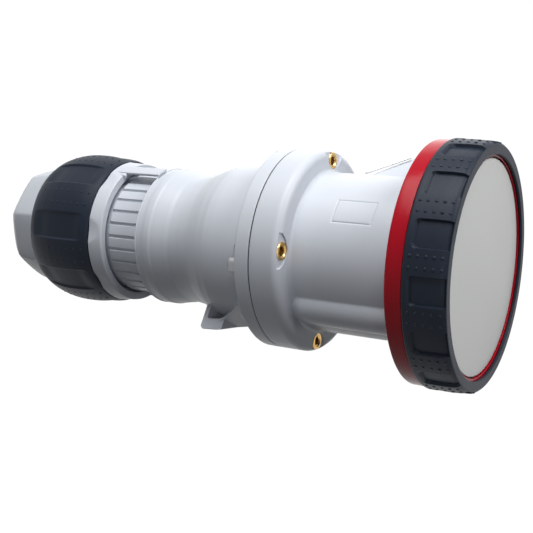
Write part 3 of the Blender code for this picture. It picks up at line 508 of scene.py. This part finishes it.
bush_face = SPOT_FLOOR + 0.5
bush_profile = np.array([(bush_face - 9.5, 0.0), (bush_face - 9.5, 4.9), (bush_face - 0.5, 5.1),
                         (bush_face - 0.12, 4.95), (bush_face, 4.5), (bush_face, 3.7),
                         (bush_face - 0.6, 3.2), (bush_face - 0.9, -1), (bush_face - 7.0, -1),
                         (bush_face - 7.6, 0.0)])
for number in range(1, 5):
    bush_angle = INSERT_ANGLE + 90 * (number - 1)
    bush_mesh = turned_aside("brass_bush", bush_profile, INSERT_CIRCLE, bush_angle, 72, socket=5.0)
    bush = place_piece(f"brass_bush_{number}", bush_mesh, BRASS, "housing", sharp=25)
    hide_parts(f"threaded_insert_{number}")


# Flange gasket
# A flat ring of black rubber pressed between the two flanges; only its edge shows, as a thin dark line.

GASKET_EDGE = 59.25
BLACK_RUBBER = plastic("black_rubber", (0.018, 0.018, 0.020), 0.55, 1400, 0.2)
gasket_low, gasket_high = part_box("flange_gasket")
gasket_profile = rounded_profile([
    (gasket_low.x / MM - 0.1, 46, 0), (gasket_low.x / MM - 0.1, GASKET_EDGE, 0.2),
    (gasket_high.x / MM + 0.1, GASKET_EDGE, 0.2), (gasket_high.x / MM + 0.1, 46, 0),
])
gasket_mesh = turned_mesh("gasket_ring", gasket_profile, fine_angles(1.5))
gasket = place_piece("gasket_ring", gasket_mesh, BLACK_RUBBER, "housing")
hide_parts("flange_gasket")


# Rear housing
# The cable half of the shell, moulded from the same grey: a thin flange, a barrel that narrows to a waist,
# a collar with fine lengthways ribs and a threaded tail. Pockets behind the flange take the screw heads.

BARREL_START = -123.8
RIM = -205.3
COLLAR_END = -229.5
TAIL_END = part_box("rear_housing")[0].x / MM
REAR_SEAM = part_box("rear_housing")[1].x / MM
BARREL_RADIUS = 48.1
COLLAR_RADIUS = 36.7
COLLAR_RIBS = 30
TAIL_BORE = 32.0
THREAD_PITCH = 6.0
SCREW_ANGLE = -5.0
SCREW_CIRCLE = 53.2
POCKET_CIRCLE = 53.4
POCKET_RADIUS = 11.4
POCKET_FLOOR = 46.0
POCKET_LENGTH = 6.5
REAR_LIP = 0.3
MOULD_STEPS = (-159.0, -170.5, -183.5, -194.5)
STEP_HEIGHT = 0.34
STEP_FADE = 5.0
STEPS_START = -155.0
RIM_BAND = -199.8
BAND_DEPTH = 0.45
REAR_OUTSIDE = 36.5
RIB_HEIGHT = 1.4
RIB_WALL = (4.3, 4.9)
RIB_WALL_ANGLES = (-4.95, -4.6, -4.25, 4.25, 4.6, 4.95)
THREAD_DEPTH = 0.8
THREAD_LENGTH = 14.5


def rear_form(x, r, angle):
    """Sinks the screw pockets, ribs the collar, cuts the tail's thread and adds the barrel's faint steps.

    The thread is a wave whose phase grows with x over the pitch and with the angle over a full turn. A step
    is half its height up on one side and half down on the other, and dies away with distance from it."""
    outside = r > REAR_OUTSIDE
    from_screw = off_centre(angle, SCREW_ANGLE, 90)
    pocket = circle_cut(from_screw, POCKET_CIRCLE, POCKET_RADIUS, -1)
    in_pocket = outside & (x > BARREL_START - POCKET_LENGTH) & (x < BARREL_START - 0.1)
    r = np.where(in_pocket, np.minimum(r, np.maximum(pocket, POCKET_FLOOR)), r)
    from_rib = np.abs(off_centre(angle, 0, 360 / COLLAR_RIBS))
    rib = 1 - soft_step(from_rib, *RIB_WALL)
    on_collar = outside & (x > COLLAR_END - 0.1) & (x < RIM - 0.05)
    r = np.where(on_collar, r + RIB_HEIGHT * rib * soft_step(x, COLLAR_END, COLLAR_END + 1.2), r)
    turn_of_thread = np.cos(2 * np.pi * (x / THREAD_PITCH + angle / 360))
    on_tail = outside & (x < TAIL_END + THREAD_LENGTH)
    r = np.where(on_tail, r - THREAD_DEPTH * (0.5 - 0.5 * turn_of_thread), r)
    on_barrel = outside & (x > RIM + 2) & (x < STEPS_START)
    for place in MOULD_STEPS:
        rise = STEP_HEIGHT * (0.5 - soft_step(x, place - 0.2, place + 0.2))
        r = np.where(on_barrel, r + rise * np.exp(-np.abs(x - place) / STEP_FADE), r)
    rim_band = outside & (x > RIM + 0.9) & (x < RIM_BAND)
    r = np.where(rim_band, r - BAND_DEPTH, r)
    return x, r


rear_profile = rounded_profile([
    (REAR_SEAM + REAR_LIP, 44.5, 0), (REAR_SEAM + REAR_LIP, FLANGE_RADIUS, 0.5),
    (BARREL_START, FLANGE_RADIUS, 0.9), (BARREL_START, BARREL_RADIUS, 1.6), (-153.5, BARREL_RADIUS, 24),
    (-171.5, 40.5, 26), (-182, 40.0, 30), (-195.0, 42.7, 18), (RIM, 43.0, 1.0), (RIM, COLLAR_RADIUS, 0),
    (COLLAR_END, COLLAR_RADIUS, 0), (TAIL_END + 15, COLLAR_RADIUS, 0), (TAIL_END + 14.6, 38.9, 0),
    (TAIL_END, 38.9, 0.6), (TAIL_END, TAIL_BORE, 0.5), (RIM, TAIL_BORE, 0), (-180.3, 36.6, 8),
    (-150.8, 44.5, 8),
], longest=1.4, coarse_below=36.65)
rib_middles = 360 / COLLAR_RIBS * np.arange(COLLAR_RIBS)[:, None]
rib_walls = (rib_middles + np.array(RIB_WALL_ANGLES)).ravel()
rear_angles = np.concatenate([fine_angles(3.0, SCREW_ANGLE + 90 * np.arange(4), 13, 1.4), rib_walls % 360])
rear_angles = np.unique(np.round(rear_angles, 4))
rear_mesh = turned_mesh("rear_shell", rear_profile, rear_angles, rear_form)
rear_shell = place_piece("rear_shell", rear_mesh, HOUSING_GREY, "housing")
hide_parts("rear_housing")


# Hanging ear
# A loop moulded under the barrel, by which the connector is hung up: a rim stands on the barrel round the
# hole, and a gusset with a narrow lip along its edge runs from the rim to the flange.

EAR_ANGLE = 149.0
EAR_SIDES = (-14.0, 8.0)
EAR_DRAFT = 0.5
EAR_ROOT = 45.0
EAR_REACH = 58.3
LIP_HEIGHT = 1.8
GUSSET_DROP = 9.0


def round_corners(corners):
    """The rounded outline of a flat shape, without the extra points on its straight sides."""
    return rounded_profile(corners, longest=1e3)


rim_outline = round_corners([
    (-160.0, 39, 0), (-161.9, 56.5, 0), (-160.4, EAR_REACH, 1.6), (-150.5, 57.6, 10), (-147.0, 57.0, 0),
    (-146.4, 49.0, 0), (-148.3, 50.4, 3), (-158.6, 51.8, 1.2), (-157.0, 39, 0),
])
rim_reach = rim_outline[:, 1]
drafted = np.where(rim_reach > EAR_ROOT, EAR_ROOT + EAR_DRAFT * (rim_reach - EAR_ROOT), rim_reach)
far_outline = np.stack([rim_outline[:, 0], drafted], axis=-1)
rim_mesh = slab_mesh("ear_rim", rim_outline, EAR_ANGLE, *EAR_SIDES, far_outline=far_outline)
ear_rim = place_piece("ear_rim", rim_mesh, HOUSING_GREY, "housing")
soften_edges(ear_rim, 0.5)


def gusset_mesh(name, stations):
    """A block under the barrel whose section changes along X. Each station is (x, side and radius of its
    lip, radius of its far edge): the lip is a narrow band, and the face under it runs to the far edge."""
    out, side = direction(EAR_ANGLE), direction(EAR_ANGLE + 90)
    x, lip, high, low = np.asarray(stations, float).T
    far = np.full(len(x), EAR_SIDES[1])
    rows = []
    for across, reach in ((-lip, high), (-lip, high + LIP_HEIGHT), (far, low), (far, high - GUSSET_DROP)):
        rows.append(x[:, None] * np.array([1, 0, 0]) + across[:, None] * side + reach[:, None] * out)
    points = np.stack(rows, axis=1)
    ends = np.repeat(points[[0, -1]].mean(axis=1, keepdims=True), 4, axis=1)
    return mesh_from_grid(name, np.concatenate([ends[:1], points, ends[1:]]), close_rows=False)


gusset_stations = [(-149.5, 14.0, 50.4, 51.6), (-148.2, 14.0, 50.1, 51.4), (-145.5, 15.1, 48.4, 50.9),
                   (-142.8, 16.7, 46.2, 50.4), (-140.2, 18.5, 44.6, 49.9), (-136.0, 22.5, 42.4, 49.1),
                   (-131.7, 26.9, 40.1, 48.2), (-127.5, 30.2, 37.7, 47.4), (-123.6, 32.9, 35.3, 46.7)]
gusset = place_piece("ear_gusset", gusset_mesh("ear_gusset", gusset_stations), HOUSING_GREY, "housing",
                     sharp=35)
soften_edges(gusset, 0.25)


# Flange screws
# Four steel cap screws hold the two halves together, put in from behind with their heads in the pockets.
# A long shank should run from each head through both flanges, hidden by them; it is missing (see below).

DARK_STEEL = metal("dark_steel", (0.22, 0.22, 0.23), 0.36, 0.12)
head_front = BARREL_START - 0.3
# a known fault: the shank should end in front of the seam, but this place is inside the head, so the
# shank is missing and the head's mesh crosses itself in its socket
shank_end = SEAM - 14
head_profile = np.array([(shank_end, 0.0), (shank_end, 2.4), (head_front, 2.4), (head_front, 4.3),
                         (head_front - 0.3, 4.6), (head_front - 4.6, 4.6), (head_front - 5.2, 4.0),
                         (head_front - 5.2, 3.0), (head_front - 5.0, -1), (head_front - 2.6, -1),
                         (head_front - 2.6, 0.0)])
for number in range(1, 5):
    screw_angle = SCREW_ANGLE + 90 * (number - 1)
    head_mesh = turned_aside("screw_head", head_profile, SCREW_CIRCLE, screw_angle, 48, socket=4.0)
    head = place_piece(f"screw_head_{number}", head_mesh, DARK_STEEL, "housing", sharp=25)
    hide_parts(f"flange_screw_{number}")


# Contact carrier, contacts and clamping screws
# The dark moulded block that the plug's pins go into, the brass sleeves inside it and their small screws.
# All of it is behind the closed cover; it shows when the cover swings open.

CARRIER_DARK = plastic("carrier_dark", (0.045, 0.047, 0.05), 0.5, 1100, 0.15)


def dress(node, material):
    """Gives a solid of the model its finish."""
    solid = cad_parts[node]
    solid.data.materials.clear()
    solid.data.materials.append(material)


dress("contact_carrier", CARRIER_DARK)
for core in ("earth", "l1", "l2", "l3", "n", "pilot"):
    dress(f"contact_{core}", BRASS)
    dress(f"clamp_screw_{core}", DARK_STEEL)


# Cover
# A shallow cap moulded in a paler, warmer grey. Its flat disc is what the photograph shows; a skirt goes
# over the nose, a shoulder lets the ring turn on it, and a curved arm runs back to the hinge.

COVER_RADIUS = 59.8
COVER_GREY = plastic("cover_grey", (0.60, 0.615, 0.60), 0.4, 700, 0.1, 0.03)
cover_profile = rounded_profile([
    (0, 0, 0), (-4, 0, 0), (-4, 48.9, 0), (-6.2, 48.9, 0.4), (-6.2, 50.1, 0.4), (-4, 50.1, 0),
    (-4, 57.4, 0.5), (-12, 57.4, 0.5), (-12, COVER_RADIUS, 0.6), (-5.6, COVER_RADIUS, 0), (-4, 61.8, 0),
    (-1.9, 61.8, 0.3), (-1.9, COVER_RADIUS, 0.2), (0, COVER_RADIUS, 0.7),
], longest=3)
cover_mesh = turned_mesh("cover_cap", cover_profile, fine_angles(1.5))
cover_cap = place_piece("cover_cap", cover_mesh, COVER_GREY, "cover")
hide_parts("cover")
arm_mesh = block_mesh("cover_arm", HINGE_X, -10.0, 58.0, 61.4, HINGE_ANGLE, 14, 24)
cover_arm = place_piece("cover_arm", arm_mesh, COVER_GREY, "cover")
soften_edges(cover_arm, 0.5)


def bar_mesh(name, middle, along, half_length, radius, columns=48):
    """A round bar through a point: circles carried along a line, closed by a point at each end."""
    along = along / np.linalg.norm(along)
    first = np.cross(along, [1.0, 0, 0])
    second = np.cross(along, first)
    stations = np.array([(-half_length, 0), (-half_length, radius - 0.3), (-half_length + 0.3, radius),
                         (half_length - 0.3, radius), (half_length, radius - 0.3), (half_length, 0)])
    turn = np.linspace(0, 2 * np.pi, columns, endpoint=False)
    ring = np.cos(turn)[:, None] * first + np.sin(turn)[:, None] * second
    points = middle + stations[:, :1, None] * along + stations[:, 1:, None] * ring
    return mesh_from_grid(name, points, close_rows=False)


hinge_line = direction(HINGE_ANGLE + 90)
hinge_middle = np.array([HINGE_X, 0, 0]) + HINGE_RADIUS * direction(HINGE_ANGLE)
barrel_half = FORK_OFFSET - FORK_THICK / 2 - 0.3
barrel_mesh = bar_mesh("hinge_barrel", hinge_middle, hinge_line, barrel_half, KNUCKLE_RADIUS)
place_piece("hinge_barrel", barrel_mesh, COVER_GREY, "cover")
STEEL = metal("steel", (0.58, 0.58, 0.59), 0.28, 0.12)
# the long arm of the hinge's spring lies along the near side of the upper rib
SPRING_ENDS = np.array([(-77.5, 36.0), (-54.5, 52.2)])
SPRING_SIDE = 31.2
SPRING_WIRE = 0.85
spring_ends = (SPRING_ENDS[:, :1] * np.array([1, 0, 0]) + SPRING_ENDS[:, 1:] * direction(HINGE_ANGLE)
               + SPRING_SIDE * hinge_line)
spring_line = spring_ends[1] - spring_ends[0]
spring_length = np.linalg.norm(spring_line)
spring_mesh = bar_mesh("spring_arm", spring_ends.mean(axis=0), spring_line / spring_length,
                       spring_length / 2, SPRING_WIRE, 16)
place_piece("spring_arm", spring_mesh, STEEL, "housing")
dress("hinge_pin", STEEL)
dress("cover_seal", BLACK_RUBBER)


# Locking ring
# A glossy red bayonet ring, moulded in one, that turns on the cover's shoulder. A band of it shows behind
# the grip, and its front edge shows as a thin red line round the cover's disc.

RING_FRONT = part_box("ring_grip")[1].x / MM
RING_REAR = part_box("locking_ring")[0].x / MM
GRIP_REAR = RING_FRONT - 23.7
RED_RADIUS = 68.5
GRIP_RADIUS = 69.6
RING_TURN = 24
RING_RED = plastic("ring_red", (0.33, 0.003, 0.012), 0.22, 600, 0.03, 0.0, 0.1)
red_profile = rounded_profile([
    (RING_REAR, 63.4, 0.4), (RING_REAR, RED_RADIUS, 1.1), (GRIP_REAR, RED_RADIUS, 0.2), (GRIP_REAR, 66.7, 0),
    (-0.3, 66.7, 0.5), (0.7, 63.2, 0.4), (0.7, 60.5, 0.3), (-1.3, 60.5, 0), (-1.3, 62.1, 0), (-4.3, 62.1, 0),
    (-5.1, 61.2, 0.2), (-6.7, 62.5, 0), (RING_REAR + 0.8, 62.5, 0),
], longest=3)
red_ring = place_piece("red_ring", turned_mesh("red_ring", red_profile, fine_angles(1.5)), RING_RED,
                       "ring")
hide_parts("locking_ring")
for number, side in enumerate((-90, 90), 1):
    lug_mesh = block_mesh("ring_lug", -27.9, -21.4, 58.7, 63.4, HINGE_ANGLE + side - RING_TURN,
                          LUG_ANGLE_WIDTH / 2)
    ring_lug = place_piece(f"ring_lug_{number}", lug_mesh, RING_RED, "ring")
    soften_edges(ring_lug, 0.4)


# Grip of the locking ring
# Soft dark rubber moulded round the red ring, with sunk pads that run out through its front edge and
# double rows of small raised dots on the lands between them.

RING_PADS = 15
FIRST_PAD = 36.0
PAD_HALF_ANGLE = 6.1
PAD_DEPTH = 1.7
PAD_REAR = RING_FRONT - 19.0
DOT_RADIUS = 1.05
DOT_SINK = 0.12
FRONT_DOT_SINK = 0.7
RING_DOTS = (-17.4, -13.2, -8.7, -4.5, -0.4)
RING_DOT_ROWS = (-2.5, 2.5)


def pad_depth(angle, along, first, count, half_angle, radius, end, wall=0.55, corner=2.2):
    """How deep the sunk pads are, from 0 to 1: a rounded rectangle in arc length and distance along,
    whose edge rises over a wall. The distance along counts into the pad from its closed end."""
    arc = np.radians(np.abs(off_centre(angle, first, 360 / count))) * radius
    across = half_angle * np.pi / 180 * radius - arc
    inward = along - end
    near_corner = (across < corner) & (inward < corner)
    to_corner = corner - np.hypot(corner - across, corner - inward)
    inside = np.where(near_corner, to_corner, np.minimum(across, inward))
    return soft_step(inside, -wall / 2, wall / 2)


def grip_form(x, r, angle):
    """Sinks the pads into the outside of the grip."""
    outside = r > 67.6
    depth = pad_depth(angle, x, FIRST_PAD, RING_PADS, PAD_HALF_ANGLE, GRIP_RADIUS, PAD_REAR)
    return x, np.where(outside, r - PAD_DEPTH * depth, r)


RING_SOFT = plastic("ring_soft", (0.010, 0.015, 0.026), 0.44, 1600, 0.25, 0.1, 0.13)
grip_profile = rounded_profile([
    (GRIP_REAR + 0.3, 67.0, 0), (GRIP_REAR + 0.3, GRIP_RADIUS, 1.2), (-6, GRIP_RADIUS, 30),
    (0.3, 69.1, 4), (RING_FRONT, 67.4, 1.1), (RING_FRONT, 61.9, 0.7), (1.0, 61.7, 0.2), (1.0, 63.2, 0),
    (0.2, 66.9, 0), (-2, 67.0, 0),
], longest=0.8)


def pad_walls(first, count, half_angle):
    """The angles of both side walls of pads at equal pitch."""
    middles = 360 / count * np.arange(count)
    return first + np.concatenate([middles - half_angle, middles + half_angle])


pad_sides = pad_walls(FIRST_PAD, RING_PADS, PAD_HALF_ANGLE)
grip_mesh = turned_mesh("ring_grip_cover", grip_profile, fine_angles(1.6, pad_sides, 2.0, 0.2), grip_form)
ring_grip = place_piece("ring_grip_cover", grip_mesh, RING_SOFT, "ring", sharp=50)
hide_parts("ring_grip")


def dots_mesh(name, places, radius, flatness=0.5):
    """Small domes on a surface. Each place is (x, radius, angle), and a dome is three rings of eight points
    and a top, on the surface's own outward direction."""
    places = np.asarray(places, float)
    turn = np.radians(places[:, 2])
    out = np.stack([np.zeros_like(turn), -np.sin(turn), np.cos(turn)], axis=-1)
    along = np.array([1.0, 0, 0])
    side = np.cross(out, along)
    centre = places[:, :1] * along + places[:, 1:2] * out
    lift = np.radians(np.array([-18, 25, 58]))
    ring = np.linspace(0, 2 * np.pi, 8, endpoint=False)
    across = (along * np.cos(ring)[None, :, None] + side[:, None, :] * np.sin(ring)[None, :, None])
    rings = (centre[:, None, None, :] + radius * np.cos(lift)[None, :, None, None] * across[:, None, :, :]
             + radius * flatness * np.sin(lift)[None, :, None, None] * out[:, None, None, :])
    tops = centre + radius * flatness * out
    bottoms = centre - radius * 0.6 * out
    count = len(places)
    points = np.concatenate([rings.reshape(count, 24, 3), tops[:, None], bottoms[:, None]], axis=1)
    index = np.arange(8)
    following = np.roll(index, -1)
    walls = [np.stack([index + 8 * k, following + 8 * k, following + 8 * (k + 1), index + 8 * (k + 1)], -1)
             for k in range(2)]
    cap = np.stack([index + 16, following + 16, np.full(8, 24)], -1)
    base = np.stack([following, index, np.full(8, 25)], -1)
    shift = (26 * np.arange(count))[:, None, None]
    quads = (np.concatenate(walls)[None] + shift).reshape(-1, 4).tolist()
    triangles = (np.concatenate([cap, base])[None] + shift).reshape(-1, 3).tolist()
    mesh = bpy.data.meshes.new(name)
    mesh.from_pydata((points.reshape(-1, 3) * MM).tolist(), [], quads + triangles)
    return face_outwards(mesh)


ring_dot_places = [(x, GRIP_RADIUS - (DOT_SINK if x < -1 else FRONT_DOT_SINK),
                    FIRST_PAD + 12 + 24 * k + row)
                   for k in range(RING_PADS) for row in RING_DOT_ROWS for x in RING_DOTS]
ring_dots_mesh = dots_mesh("ring_dots", ring_dot_places, DOT_RADIUS)
place_piece("ring_dots", ring_dots_mesh, RING_SOFT, "ring", sharp=80)


# Gland nut
# The grey nut that squeezes the seal on the cable: a scalloped ring in front with two tongues on wider
# roots that point forward over the rim, a round core under the grip, and an eight-sided hub with round
# corners at the cable's hole.

NUT_FRONT = -229.8
NUT_GRIP_FRONT = -239.0
NUT_GRIP_REAR = -288.0
NUT_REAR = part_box("gland_nut")[0].x / MM
NUT_FIRST_PAD = 27.75
CABLE_RADIUS = 21.0
TONGUE_ANGLES = (11.5, 191.5)
SCALLOP_ANGLE = 74.2
SCALLOP_FLAT = 44.8
SCALLOP_DIP = 0.5
SCALLOP_HALF_ANGLE = 10.0
SCALLOP_LIFT = 2.5
HUB_FLAT_ANGLE = 43.5
HUB_FLAT_SHARE = 0.932
HUB_CORNER = 22.0
HUB_LIFT = 0.012
HUB_INSIDE = 24.0


def nut_form(x, r, angle):
    """Cuts eight shallow scallops into the front ring, and makes the hub eight-sided with round corners.

    A flat at a distance from the axis lies at that distance over the cosine of the angle from its middle.
    The hub's share of its round radius is a soft smaller of one and such a flat: minus the logarithm of the
    sum of both exponentials of minus the sharpness times the value, over the sharpness."""
    from_scallop = off_centre(angle, SCALLOP_ANGLE, 45)
    dip = SCALLOP_DIP * np.clip(1 - (from_scallop / SCALLOP_HALF_ANGLE) ** 2, 0, 1)
    flat = SCALLOP_FLAT / np.cos(np.radians(from_scallop)) - dip
    ring = (r > 43) & (x > NUT_GRIP_FRONT - 0.5)
    fade = soft_step(NUT_FRONT - x, 1.2, 3.2)
    r = np.where(ring, np.minimum(r, flat + SCALLOP_LIFT * (1 - fade)), r)
    hub = (x < NUT_GRIP_REAR - 0.5) & (r > HUB_INSIDE)
    from_flat = off_centre(angle, HUB_FLAT_ANGLE, 45)
    side = HUB_FLAT_SHARE / np.cos(np.radians(from_flat))
    share = -np.log(np.exp(-HUB_CORNER * side) + np.exp(-HUB_CORNER)) / HUB_CORNER + HUB_LIFT
    fade = soft_step(NUT_GRIP_REAR - x, 0, 4)
    return x, np.where(hub, r * (1 - fade + fade * share), r)


nut_profile = rounded_profile([
    (NUT_FRONT, 39.5, 0.5), (NUT_FRONT, 44.2, 0.8), (NUT_GRIP_FRONT, 45.5, 0.4), (NUT_GRIP_FRONT, 41.8, 0),
    (NUT_GRIP_REAR, 41.8, 0), (NUT_GRIP_REAR - 1.5, 41.0, 1.0), (-300, 39.8, 10), (-308.5, 38.2, 5),
    (NUT_REAR, 31.8, 3.0), (NUT_REAR, CABLE_RADIUS, 1.6), (-281.5, CABLE_RADIUS, 0), (-275.4, 29.9, 0),
    (-275.4, 39.2, 0), (-231.8, 39.2, 0), (-230.8, 39.4, 0),
], longest=1.5)
nut_mesh = turned_mesh("nut_body", nut_profile, fine_angles(1.25), nut_form)
nut_body = place_piece("nut_body", nut_mesh, HOUSING_GREY, "nut")
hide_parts("gland_nut")
for number, angle in enumerate(TONGUE_ANGLES, 1):
    tongue_mesh = block_mesh("nut_tongue", -236, -203.6, 43.3, 45.1, angle, 6.2, 12)
    tongue = place_piece(f"nut_tongue_{number}", tongue_mesh, HOUSING_GREY, "nut")
    soften_edges(tongue, 0.6)
    root_mesh = block_mesh("tongue_root", -236, -228.2, 41.5, 44.6, angle, 9.5, 14)
    root = place_piece(f"tongue_root_{number}", root_mesh, HOUSING_GREY, "nut")
    soften_edges(root, 1.4)


# Grip of the gland nut
# The same soft dark rubber, barrel-shaped, with wide sunk pads and lands that carry double rows of dots.

NUT_PADS = 8
NUT_PAD_HALF_ANGLE = 10.0
NUT_PAD_DEPTH = 1.5
NUT_PAD_RADIUS = 48.0
NUT_PAD_END = 3.0
NUT_GRIP_OUTSIDE = 42.6
NUT_DOT_RADIUS = 0.9
NUT_DOT_ROWS = (-5.0, 5.0)
NUT_DOTS = np.linspace(-244.0, -279.5, 8)
nut_grip_line = np.array([(NUT_GRIP_FRONT - 0.3, 45.6), (-242, 46.6), (-246, 47.7), (-252, 48.5),
                          (-258, 48.85), (-264, 48.9), (-270, 48.6), (-276, 47.7), (-281, 46.4),
                          (-285, 44.9), (NUT_GRIP_REAR, 43.0)])


def nut_grip_form(x, r, angle):
    """Sinks the pads, which are closed at both ends and deepest along their middle line.

    The scoop across a pad is one less the square of the angle over the pad's half width."""
    outside = r > NUT_GRIP_OUTSIDE
    middle = (NUT_GRIP_FRONT + NUT_GRIP_REAR) / 2
    half = (NUT_GRIP_FRONT - NUT_GRIP_REAR) / 2
    inward = half - np.abs(x - middle)
    depth = pad_depth(angle, inward, NUT_FIRST_PAD, NUT_PADS, NUT_PAD_HALF_ANGLE, NUT_PAD_RADIUS,
                      NUT_PAD_END, wall=1.2, corner=5)
    ends = soft_step(inward, 2.5, 13)
    from_pad = off_centre(angle, NUT_FIRST_PAD, 45)
    scoop = np.clip(1 - (from_pad / (NUT_PAD_HALF_ANGLE + 1)) ** 2, 0, 1)
    return x, np.where(outside, r - NUT_PAD_DEPTH * depth * ends * (0.65 + 0.5 * scoop), r)


nut_grip_x = np.linspace(nut_grip_line[0, 0], nut_grip_line[-1, 0], 61)
smooth_line = np.interp(-nut_grip_x, -nut_grip_line[:, 0], nut_grip_line[:, 1])
for _ in range(3):
    smooth_line[1:-1] = (smooth_line[:-2] + 2 * smooth_line[1:-1] + smooth_line[2:]) / 4
front_edge = [(NUT_GRIP_FRONT - 0.3, 42.1), (NUT_GRIP_FRONT - 0.3, 44.9)]
rear_edge = [(NUT_GRIP_REAR + 0.3, 42.1)]
nut_grip_profile = np.concatenate([front_edge, np.stack([nut_grip_x - 0.3, smooth_line], -1), rear_edge])
nut_pad_sides = pad_walls(NUT_FIRST_PAD, NUT_PADS, NUT_PAD_HALF_ANGLE)
nut_grip_mesh = turned_mesh("nut_grip_cover", nut_grip_profile, fine_angles(1.8, nut_pad_sides, 2.4, 0.3),
                            nut_grip_form)
nut_grip = place_piece("nut_grip_cover", nut_grip_mesh, RING_SOFT, "nut", sharp=50)
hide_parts("nut_grip")
nut_dot_places = [(x, float(np.interp(-x, -nut_grip_line[:, 0], nut_grip_line[:, 1])) - 0.2,
                   NUT_FIRST_PAD + 22.5 + 45 * k + row)
                  for k in range(NUT_PADS) for row in NUT_DOT_ROWS for x in NUT_DOTS]
nut_dots_mesh = dots_mesh("nut_dots", nut_dot_places, NUT_DOT_RADIUS)
place_piece("nut_dots", nut_dots_mesh, RING_SOFT, "nut", sharp=80)
dress("gland_seal", BLACK_RUBBER)
dress("thrust_ring", HOUSING_GREY)


# Studio
# A white floor under the connector, four soft lamps (one overhead, and weaker ones to the near side, the
# back and the cover's face), and the camera where the photograph was taken from.

FLOOR_DROP = 0.0005
WORLD_LEVEL = 0.02


def seen_rays(nodes, links):
    """1 for a ray that comes from the camera, a reflection or through glass, and 0 for one that lights."""
    rays = nodes.new("ShaderNodeLightPath")
    total = rays.outputs["Is Camera Ray"]
    for kind in ("Is Glossy Ray", "Is Transmission Ray"):
        larger = nodes.new("ShaderNodeMath")
        larger.operation = "MAXIMUM"
        links.new(total, larger.inputs[0])
        links.new(rays.outputs[kind], larger.inputs[1])
        total = larger.outputs[0]
    return total


def floor_material():
    """White to the camera and in reflections, apart from the shadow it catches; nearly black to the light."""
    material = bpy.data.materials.new("floor_white")
    material.use_nodes = True
    nodes, links = material.node_tree.nodes, material.node_tree.links
    shader = nodes["Principled BSDF"]
    shader.inputs["Base Color"].default_value = (0.03, 0.03, 0.033, 1)
    shader.inputs["Roughness"].default_value = 1.0
    shader.inputs["Specular IOR Level"].default_value = 0.0
    glow = nodes.new("ShaderNodeEmission")
    glow.inputs["Strength"].default_value = 1.0
    seen = seen_rays(nodes, links)
    both = nodes.new("ShaderNodeAddShader")
    mix = nodes.new("ShaderNodeMixShader")
    links.new(shader.outputs["BSDF"], both.inputs[0])
    links.new(glow.outputs["Emission"], both.inputs[1])
    links.new(seen, mix.inputs["Fac"])
    links.new(shader.outputs["BSDF"], mix.inputs[1])
    links.new(both.outputs["Shader"], mix.inputs[2])
    links.new(mix.outputs["Shader"], nodes["Material Output"].inputs["Surface"])
    return material


bpy.ops.mesh.primitive_plane_add(size=12, location=(0, 0, cad_box[0][2] - FLOOR_DROP))
floor = bpy.context.object
floor.name = "floor"
floor.data.materials.append(floor_material())

world = bpy.data.worlds.new("studio")
bpy.context.scene.world = world
world.use_nodes = True
sky = world.node_tree.nodes["Background"]
sky.inputs["Color"].default_value = (1, 1, 1, 1)
white = seen_rays(world.node_tree.nodes, world.node_tree.links)
level = world.node_tree.nodes.new("ShaderNodeMath")
level.operation = "MULTIPLY_ADD"
level.inputs[1].default_value = 1.0 - WORLD_LEVEL
level.inputs[2].default_value = WORLD_LEVEL
world.node_tree.links.new(white, level.inputs[0])
world.node_tree.links.new(level.outputs[0], sky.inputs["Strength"])


def soft_lamp(name, place, target, width, power):
    """A square white lamp at a place, aimed at a target, in metres."""
    data = bpy.data.lights.new(name, "AREA")
    data.size = width
    data.energy = power
    lamp = bpy.data.objects.new(name, data)
    aim = Vector(target) - Vector(place)
    lamp.location = place
    lamp.rotation_euler = aim.to_track_quat("-Z", "Y").to_euler()
    bpy.context.scene.collection.objects.link(lamp)
    return lamp


# The camera was fitted to the photograph in a frame turned about X by this angle, with the cover's disc
# as its unit of length.
FIT_TURN = 10.75
DISC = 0.060
CAMERA_AZIMUTH = 29.454
CAMERA_ELEVATION = 8.0
CAMERA_ROLL = 2.195
CAMERA_DISTANCE = 10.176
CAMERA_TARGET = (-2.272, 0.0, -0.218)
FOCAL_PIXELS = 997.35
PICTURE_PIXELS = 533
SENSOR_WIDTH = 36

azimuth, elevation, roll = map(math.radians, (CAMERA_AZIMUTH, CAMERA_ELEVATION, CAMERA_ROLL))
level_share = math.cos(elevation)
back = Vector((math.sin(azimuth) * level_share, -math.cos(azimuth) * level_share, math.sin(elevation)))
right = (-back).cross(Vector((0, 0, 1))).normalized()
up = right.cross(-back)
right_rolled = math.cos(roll) * right + math.sin(roll) * up
up_rolled = -math.sin(roll) * right + math.cos(roll) * up
to_row = Matrix.Rotation(-math.radians(FIT_TURN), 3, "X")
position = to_row @ ((Vector(CAMERA_TARGET) + back * CAMERA_DISTANCE) * DISC)
axes = Matrix([to_row @ right_rolled, to_row @ up_rolled, to_row @ back]).transposed()
camera_data = bpy.data.cameras.new("camera")
camera_data.sensor_width = SENSOR_WIDTH
camera_data.lens = FOCAL_PIXELS / PICTURE_PIXELS * SENSOR_WIDTH
camera = bpy.data.objects.new("camera", camera_data)
camera.matrix_world = Matrix.Translation(position) @ axes.to_4x4()
bpy.context.scene.collection.objects.link(camera)
bpy.context.scene.camera = camera

soft_lamp("overhead_lamp", (-0.12, -0.14, 0.97), (-0.16, 0, 0), 0.7, 12.0)
soft_lamp("fill_lamp", (0.25, -0.85, 0.05), (-0.15, 0, 0), 0.7, 1.9)
soft_lamp("back_lamp", (-0.45, 0.9, 0.4), (-0.15, 0, 0), 0.8, 1.6)
soft_lamp("face_lamp", (0.34, 0.04, 0.40), (0, 0, 0), 0.25, 2.2)

bpy.context.scene.view_settings.view_transform = "Standard"
